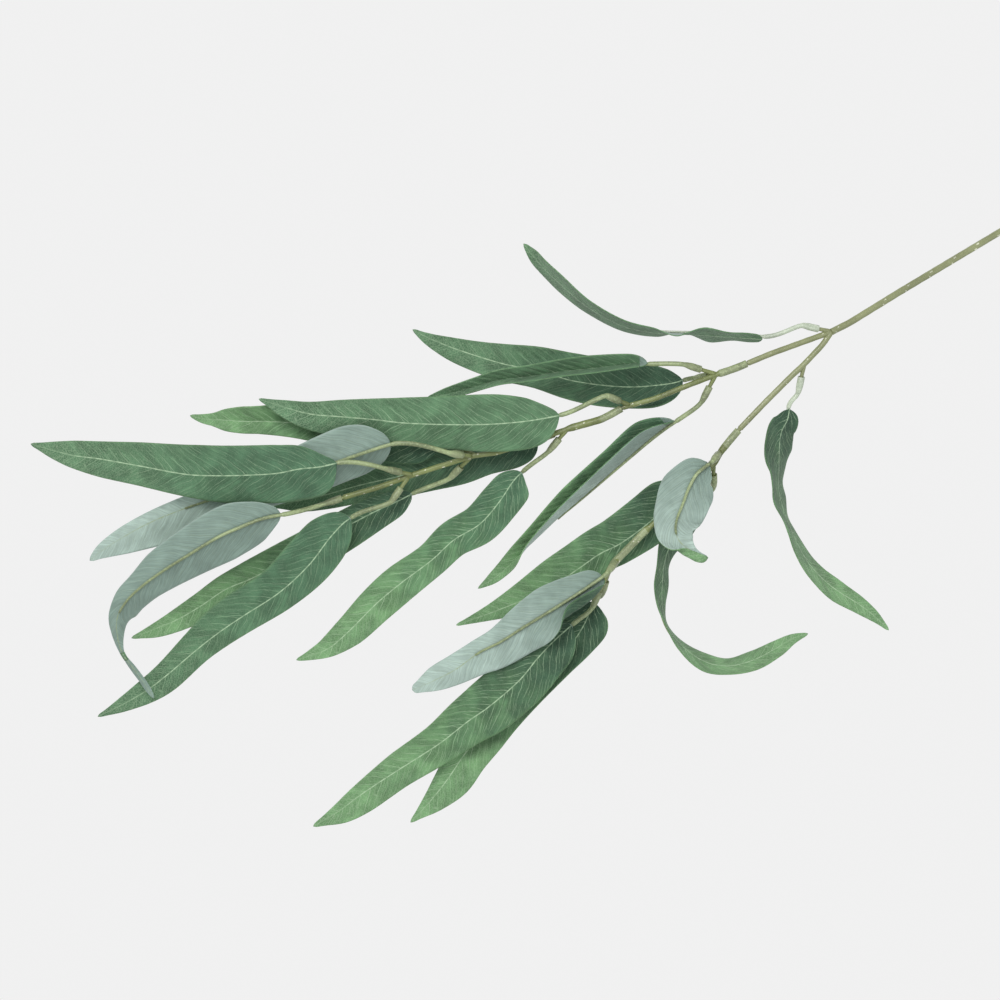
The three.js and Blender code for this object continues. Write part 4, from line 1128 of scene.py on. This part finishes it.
class Finish:
    """A node material, built node by node."""

    # A Mix node's sockets for the share and for two colours, and for the mixed colour
    MIX_INPUTS = (0, 6, 7)
    MIX_RESULT = 2

    def __init__(self, name, roughness):
        self.material = bpy.data.materials.new(name)
        self.material.use_nodes = True
        self.tree = self.material.node_tree
        self.shader = self.tree.nodes["Principled BSDF"]
        self.shader.inputs["Roughness"].default_value = roughness

    def set(self, socket, value):
        """Links the socket to another one, or gives it a constant."""
        if isinstance(value, bpy.types.NodeSocket):
            self.tree.links.new(value, socket)
        else:
            socket.default_value = value

    def math(self, operation, *values):
        node = self.tree.nodes.new("ShaderNodeMath")
        node.operation = operation
        for socket, value in zip(node.inputs, values):
            self.set(socket, value)
        return node.outputs[0]

    def ramp(self, value, low, high, start=0.0, end=1.0):
        """An eased change from start to end as the value goes from low to high."""
        node = self.tree.nodes.new("ShaderNodeMapRange")
        node.interpolation_type = "SMOOTHSTEP"
        for socket, setting in zip(node.inputs, (value, low, high, start, end)):
            self.set(socket, setting)
        return node.outputs[0]

    def mix(self, share, first, second):
        node = self.tree.nodes.new("ShaderNodeMix")
        node.data_type = "RGBA"
        for place, value in zip(self.MIX_INPUTS, (share, first, second)):
            self.set(node.inputs[place], value)
        return node.outputs[self.MIX_RESULT]

    def gain(self, colour, amount):
        node = self.tree.nodes.new("ShaderNodeVectorMath")
        node.operation = "SCALE"
        self.set(node.inputs[0], colour)
        self.set(node.inputs["Scale"], amount)
        return node.outputs[0]

    def vector(self, x, y):
        node = self.tree.nodes.new("ShaderNodeCombineXYZ")
        self.set(node.inputs[0], x)
        self.set(node.inputs[1], y)
        return node.outputs[0]

    def noise(self, scale, detail=3.0, vector=None):
        node = self.tree.nodes.new("ShaderNodeTexNoise")
        node.inputs["Scale"].default_value = scale
        node.inputs["Detail"].default_value = detail
        self.set(node.inputs["Vector"], vector or self.places())
        return node.outputs[0]

    def places(self):
        return self.tree.nodes.new("ShaderNodeTexCoord").outputs["Object"]

    def leaf_map(self, layer):
        """One of the blade's maps, and its two values."""
        node = self.tree.nodes.new("ShaderNodeUVMap")
        node.uv_map = layer
        split = self.tree.nodes.new("ShaderNodeSeparateXYZ")
        self.tree.links.new(node.outputs[0], split.inputs[0])
        return node.outputs[0], split.outputs[0], split.outputs[1]

    def bump(self, height, distance, strength):
        node = self.tree.nodes.new("ShaderNodeBump")
        node.inputs["Strength"].default_value = strength
        node.inputs["Distance"].default_value = distance
        self.set(node.inputs["Height"], height)
        self.tree.links.new(node.outputs[0], self.shader.inputs["Normal"])

    def colour(self, value):
        self.set(self.shader.inputs["Base Color"], value)


def tint(colour, gain=1.0):
    """A colour made lighter or darker, with full cover."""
    return (*(min(channel * gain, 1) for channel in colour), 1)


def cloth(name, root, tip, colours, sizes, strength, under=False):
    """Printed leaf cloth: ground from root to tip colour, darker at the root partly with painted shade, pale
    midrib and side veins, fine net, margins.
    """
    finish = Finish(name, roughness=0.7)
    finish.shader.inputs["Sheen Weight"].default_value = 0.12
    finish.shader.inputs["Specular IOR Level"].default_value = 0.3
    shares = UNDER_PRINT if under else TOP_PRINT
    size_map, across, along = finish.leaf_map("leaf_size")
    _, share_across, share_along = finish.leaf_map("leaf_share")
    out = finish.math("ABSOLUTE", across)
    from_middle = finish.math("ABSOLUTE", finish.math("SUBTRACT", share_across, 0.5))
    run = vein_run(finish, size_map, across, along, out, sizes)
    ground = root_to_tip(finish, size_map, share_along, root, tip)
    ground = uneven(finish, ground, size_map, run, out, shares["patch"])
    edge = finish.ramp(from_middle, low=0.455, high=0.5, start=0.0, end=shares["margin"])
    ground = finish.mix(edge, ground, tint(colours.under_tip if under else colours.margin))
    veins = side_veins(finish, size_map, run, out, from_middle, sizes)
    net = fine_net(finish, size_map)
    net_share = finish.ramp(share_along, low=0.35, high=0.95, start=0.06, end=shares["net"])
    midrib = midrib_line(finish, size_map, out, share_along)
    lit = finish.math("MAXIMUM", finish.math("MULTIPLY", veins, strength),
                      finish.math("MULTIPLY", net, net_share))
    lit = finish.math("MAXIMUM", lit, finish.math("MULTIPLY", midrib, shares["midrib"]))
    lines = tint(colours.moulding, UNDER_LINE_GAIN) if under else tint(colours.vein)
    finish.colour(finish.mix(lit, ground, lines))
    height = finish.math("ADD", finish.math("MULTIPLY", veins, VEIN_HEIGHT),
                         finish.math("MULTIPLY", net, NET_HEIGHT))
    weave = finish.noise(scale=160, detail=2.0, vector=size_map)
    height = finish.math("ADD", height, finish.math("MULTIPLY", weave, WEAVE_HEIGHT))
    finish.bump(height, distance=0.00018, strength=0.8)
    return finish.material


def root_to_tip(finish, size_map, share_along, root, tip):
    """The ground colour, which goes from root to tip with a mottled edge. The darker roots are partly the
    cloth's own tone and partly painted shade, where the roots lie under the limbs and other leaves.
    """
    mottle = finish.ramp(finish.noise(scale=7, detail=5.0, vector=size_map), low=0.3, high=0.7)
    place = finish.math("ADD", share_along, finish.math("MULTIPLY", mottle, MOTTLE_REACH))
    return finish.mix(finish.ramp(place, low=0.05, high=1.0), tint(root), tint(tip))


def uneven(finish, ground, size_map, run, out, spread):
    """The ground with lighter and darker patches, and fibres that follow the side veins."""
    patch = finish.noise(scale=9, detail=3.0, vector=size_map)
    ground = finish.gain(ground, finish.ramp(patch, low=0.3, high=0.72, start=1 - spread, end=1 + spread))
    stretched = finish.vector(run, finish.math("MULTIPLY", out, FIBRE_SQUEEZE))
    fibres = finish.noise(scale=110, detail=3.0, vector=stretched)
    return finish.gain(ground, finish.ramp(fibres, low=0.3, high=0.72, start=0.86, end=1.20))


def midrib_line(finish, size_map, out, share_along):
    """The pale midrib, worn in places and fainter near the tip."""
    midrib = finish.ramp(out, low=0.0010, high=0.0042, start=1.0, end=0.0)
    tip_fade = finish.ramp(share_along, low=0.75, high=1.0, start=1.0, end=0.3)
    wear = finish.noise(scale=34, detail=2.0, vector=size_map)
    worn = finish.ramp(wear, low=0.38, high=0.6, start=0.5, end=1.0)
    return finish.math("MULTIPLY", finish.math("MULTIPLY", midrib, tip_fade), worn)


def vein_run(finish, size_map, across, along, out, sizes):
    """Distance along the leaf at which a side vein through this place left the midrib."""
    spacing = sizes.vein_spacing / MM / DECIMETRE
    side_step = finish.math("MULTIPLY", finish.math("GREATER_THAN", across, 0.0), spacing * SIDE_STAGGER)
    lean = finish.math("MULTIPLY", out, sizes.vein_lean)
    sweep = finish.math("MULTIPLY", finish.math("MULTIPLY", out, out), sizes.vein_sweep)
    run = finish.math("SUBTRACT", finish.math("ADD", along, side_step), finish.math("ADD", lean, sweep))
    slow_noise = finish.noise(scale=5, detail=1.0, vector=size_map)
    quick_noise = finish.noise(scale=30, detail=2.0, vector=size_map)
    slow = finish.math("MULTIPLY", slow_noise, spacing * SLOW_WANDER)
    quick = finish.math("MULTIPLY", quick_noise, spacing * QUICK_WANDER)
    return finish.math("ADD", run, finish.math("ADD", slow, quick))


def side_veins(finish, size_map, run, out, from_middle, sizes):
    """Broken side veins that leave the midrib forwards, with finer branches between them."""
    spacing = sizes.vein_spacing / MM / DECIMETRE
    breaks = finish.noise(scale=16, detail=2.0, vector=size_map)
    broken = finish.ramp(breaks, low=0.34, high=0.58, start=0.35, end=1.0)
    main_place = finish.math("PINGPONG", run, spacing / 2)
    main = finish.ramp(main_place, low=0.0, high=0.0030, start=1.0, end=0.0)
    margin_fade = finish.ramp(from_middle, low=0.02, high=0.5, start=1.0, end=0.42)
    main = finish.math("MULTIPLY", main, margin_fade)
    branch_run = finish.math("ADD", run, finish.math("MULTIPLY", out, BRANCH_LEAN))
    branch_place = finish.math("PINGPONG", branch_run, spacing * BRANCH_HALF_SPACING)
    branch = finish.ramp(branch_place, low=0.0, high=0.0022, start=0.7, end=0.0)
    branch_patches = finish.noise(scale=20, detail=2.0, vector=size_map)
    shown = finish.ramp(branch_patches, low=0.46, high=0.62)
    return finish.math("MAXIMUM", finish.math("MULTIPLY", main, broken),
                       finish.math("MULTIPLY", branch, shown))


def fine_net(finish, size_map):
    """The net of fine veins between the others."""
    cells = finish.tree.nodes.new("ShaderNodeTexVoronoi")
    cells.feature = "DISTANCE_TO_EDGE"
    cells.inputs["Scale"].default_value = 85
    finish.tree.links.new(size_map, cells.inputs["Vector"])
    return finish.ramp(cells.outputs["Distance"], low=0.0, high=0.09, start=1.0, end=0.0)


def moulded(name, base, roughness, unevenness=0.38, speckle=0.42):
    """Moulded plastic with soft blotches, a fine pale speckle and a rubbed gloss."""
    finish = Finish(name, roughness)
    blotch = finish.ramp(finish.noise(scale=90, detail=4.0), low=0.3, high=0.7)
    grain = finish.noise(scale=900)
    wide_blotch = finish.ramp(finish.noise(scale=38, detail=2.0), low=0.35, high=0.65)
    dark, pale = tint(base, 1 - unevenness), tint(base, 1 + PALE_BLOTCH_SHARE * unevenness)
    ground = finish.mix(blotch, dark, pale)
    darkened = finish.math("MULTIPLY", wide_blotch, unevenness)
    ground = finish.mix(darkened, ground, tint(base, DARK_BLOTCH))
    speckles = finish.ramp(grain, low=0.45, high=0.75, start=0.0, end=speckle)
    finish.colour(finish.mix(speckles, ground, tint(base, PALE_SPECKLE)))
    rubbed = finish.ramp(grain, low=0.3, high=0.7, start=roughness - 0.1, end=roughness + 0.1)
    finish.set(finish.shader.inputs["Roughness"], rubbed)
    finish.bump(finish.math("ADD", grain, blotch), distance=0.0001, strength=0.7)
    return finish.material


def wire_metal():
    """Drawn steel wire with fine scratches."""
    finish = Finish("drawn_wire", roughness=0.32)
    finish.shader.inputs["Metallic"].default_value = 1.0
    scratch = finish.noise(scale=700, detail=2.0)
    finish.colour(finish.mix(scratch, WIRE_DARK, WIRE_LIGHT))
    finish.bump(scratch, distance=0.00003, strength=0.5)
    return finish.material


def glowing_ground(colours):
    """A plain ground of one even light colour."""
    finish = Finish("plain_ground", roughness=1.0)
    glow = finish.tree.nodes.new("ShaderNodeEmission")
    glow.inputs["Color"].default_value = tint(colours.floor)
    output = finish.tree.nodes["Material Output"]
    finish.tree.links.new(glow.outputs[0], output.inputs["Surface"])
    return finish.material


def set_camera(context, sizes):
    """A long lens straight above the leaves."""
    data = bpy.data.cameras.new("view")
    data.lens = LENS
    data.sensor_width = SENSOR
    data.clip_end = CLIP_END
    camera = bpy.data.objects.new("view", data)
    target = (VIEW_CENTRE - CENTRE) * MM
    camera.location = Vector(target) + Vector((0, 0, sizes.view_width * LENS / SENSOR))
    context.scene.collection.objects.link(camera)
    context.scene.camera = camera


def add_ground(context, colours):
    half = GROUND_HALF
    corners = [(-half, -half, 0), (half, -half, 0), (half, half, 0), (-half, half, 0)]
    mesh = bpy.data.meshes.new("ground")
    mesh.from_pydata(corners, [], [(0, 1, 2, 3)])
    mesh.materials.append(glowing_ground(colours))
    ground = bpy.data.objects.new("ground", mesh)
    ground.location.z = -GROUND_DROP
    context.scene.collection.objects.link(ground)


def add_lights(context):
    """Two soft lamps and an even sky."""
    for name, place, size, power in LAMPS:
        data = bpy.data.lights.new(name, "AREA")
        data.energy = power
        data.size = size
        lamp = bpy.data.objects.new(name, data)
        lamp.location = place
        aim = LAMP_AIM - lamp.location
        lamp.rotation_euler = aim.to_track_quat("-Z", "Y").to_euler()
        context.scene.collection.objects.link(lamp)
    world = bpy.data.worlds.new("sky")
    world.use_nodes = True
    world.node_tree.nodes["Background"].inputs["Color"].default_value = SKY_COLOUR
    world.node_tree.nodes["Background"].inputs["Strength"].default_value = SKY_STRENGTH
    context.scene.world = world


class SPRAY_OT_add_stage(bpy.types.Operator):
    """Add the camera, the soft light and the plain ground"""

    bl_idname = "spray.add_stage"
    bl_label = "Add Stage"

    def execute(self, context):
        set_camera(context, context.scene.spray_sizes)
        add_ground(context, context.scene.spray_colours)
        add_lights(context)
        context.scene.view_settings.view_transform = "Standard"
        context.scene.view_settings.look = "None"
        return {"FINISHED"}


class SPRAY_OT_add_stems(bpy.types.Operator):
    """Add the moulded main stem and its three limb pieces, and finish the wire core"""

    bl_idname = "spray.add_stems"
    bl_label = "Add Stems"

    def execute(self, context):
        sizes = context.scene.spray_sizes
        colours = context.scene.spray_colours
        main = moulded("main_moulding", colours.main_stem, roughness=0.36, unevenness=0.16, speckle=0.08)
        limb = moulded("stem_moulding", colours.stem, roughness=0.36, unevenness=0.30, speckle=0.20)
        dots = moulded("stem_dots", colours.dot, roughness=0.4)
        collar = moulded("collar_moulding", colours.sleeve, roughness=0.42)
        groups = {
            "main_stem": [MAIN_STEM, UPPER_ARM, LOWER_ARM],
            "upper_limb": [UPPER_LIMB],
            "outer_limb": [OUTER_LIMB],
            "lower_limb": [LOWER_LIMB],
        }
        for seed, (node, lines) in enumerate(groups.items(), start=STEM_SEED):
            out = ([], [], [])
            for rows in lines:
                add_stem(rows, sizes, seed, out)
            add_nubs(node, out)
            plain = main if node == "main_stem" else limb
            show_moulding(node, out, [plain, dots, collar])
        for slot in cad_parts["stem_wire"].material_slots:
            slot.material = wire_metal()
        return {"FINISHED"}


class SPRAY_OT_add_stalks(bpy.types.Operator):
    """Add each leaf's moulded socket, stalk and raised midrib"""

    bl_idname = "spray.add_stalks"
    bl_label = "Add Stalks"

    def execute(self, context):
        colours = context.scene.spray_colours
        stalk = moulded("stalk_moulding", colours.moulding, roughness=0.38)
        light = moulded("stalk_light", colours.dot, roughness=0.4)
        sleeve = moulded("sleeve_moulding", colours.sleeve, roughness=0.42)
        pale = moulded("pale_moulding", colours.pale_stalk, roughness=0.3, unevenness=0.2, speckle=0.3)
        for leaf in LEAVES:
            out = ([], [], [])
            add_stalk(leaf, out)
            finishes = [pale, light, pale] if leaf["name"] in PALE_STALKS else [stalk, light, sleeve]
            show_moulding(f"{leaf['name']}_stalk", out, finishes)
        return {"FINISHED"}


class SPRAY_OT_add_leaves(bpy.types.Operator):
    """Add the twenty printed cloth blades"""

    bl_idname = "spray.add_leaves"
    bl_label = "Add Leaves"

    def execute(self, context):
        sizes = context.scene.spray_sizes
        colours = context.scene.spray_colours
        # Painted shade: the "shaded" ground and the dark_root colour darken leaves and roots that lie in
        # shade
        grounds = {
            "shaded": (colours.dark_root, colours.deep_tip),
            "deep": (colours.soft_root, colours.deep_tip),
            "mid": (colours.deep_tip, colours.deep_tip),
            "fresh": (colours.dark_root, colours.fresh_tip),
            "light": (colours.soft_root, colours.fresh_tip),
        }
        tops = {tone: cloth(f"leaf_{tone}", root, tip, colours, sizes, VEIN_STRENGTHS[tone])
                for tone, (root, tip) in grounds.items()}
        under = cloth("leaf_under", colours.under_root, colours.under_tip, colours, sizes,
                      UNDER_VEIN_STRENGTH, under=True)
        dull = cloth("leaf_under_dull", colours.under_root, colours.under_dull, colours, sizes,
                     UNDER_VEIN_STRENGTH, under=True)
        for seed, leaf in enumerate(LEAVES, start=1):
            name = f"{leaf['name']}_blade"
            mesh = blade_mesh(name, leaf, seed, sizes)
            back = dull if leaf["name"] in DULL_UNDER else under
            show(f"{name}_cloth", mesh, [tops[TONES[leaf["name"]]], back], name)
        return {"FINISHED"}


class SPRAY_PT_panel(bpy.types.Panel):
    """Sizes, colours and steps of the willow spray"""

    bl_idname = "SPRAY_PT_panel"
    bl_label = "Willow Spray"
    bl_space_type = "VIEW_3D"
    bl_region_type = "UI"
    bl_category = "Willow Spray"

    def draw(self, context):
        for operator in OPERATORS:
            self.layout.operator(operator.bl_idname)
        for group in (context.scene.spray_sizes, context.scene.spray_colours):
            box = self.layout.box()
            for name in group.__annotations__:
                box.prop(group, name)


OPERATORS = (SPRAY_OT_add_stage, SPRAY_OT_add_stems, SPRAY_OT_add_stalks, SPRAY_OT_add_leaves)
CLASSES = (SpraySizes, SprayColours, *OPERATORS, SPRAY_PT_panel)


def register():
    for item in CLASSES:
        bpy.utils.register_class(item)
    bpy.types.Scene.spray_sizes = PointerProperty(type=SpraySizes)
    bpy.types.Scene.spray_colours = PointerProperty(type=SprayColours)


def unregister():
    del bpy.types.Scene.spray_colours
    del bpy.types.Scene.spray_sizes
    for item in reversed(CLASSES):
        bpy.utils.unregister_class(item)


def main():
    register()
    bpy.ops.spray.add_stage()
    bpy.ops.spray.add_stems()
    bpy.ops.spray.add_stalks()
    bpy.ops.spray.add_leaves()
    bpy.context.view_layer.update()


if __name__ == "__main__":
    main()
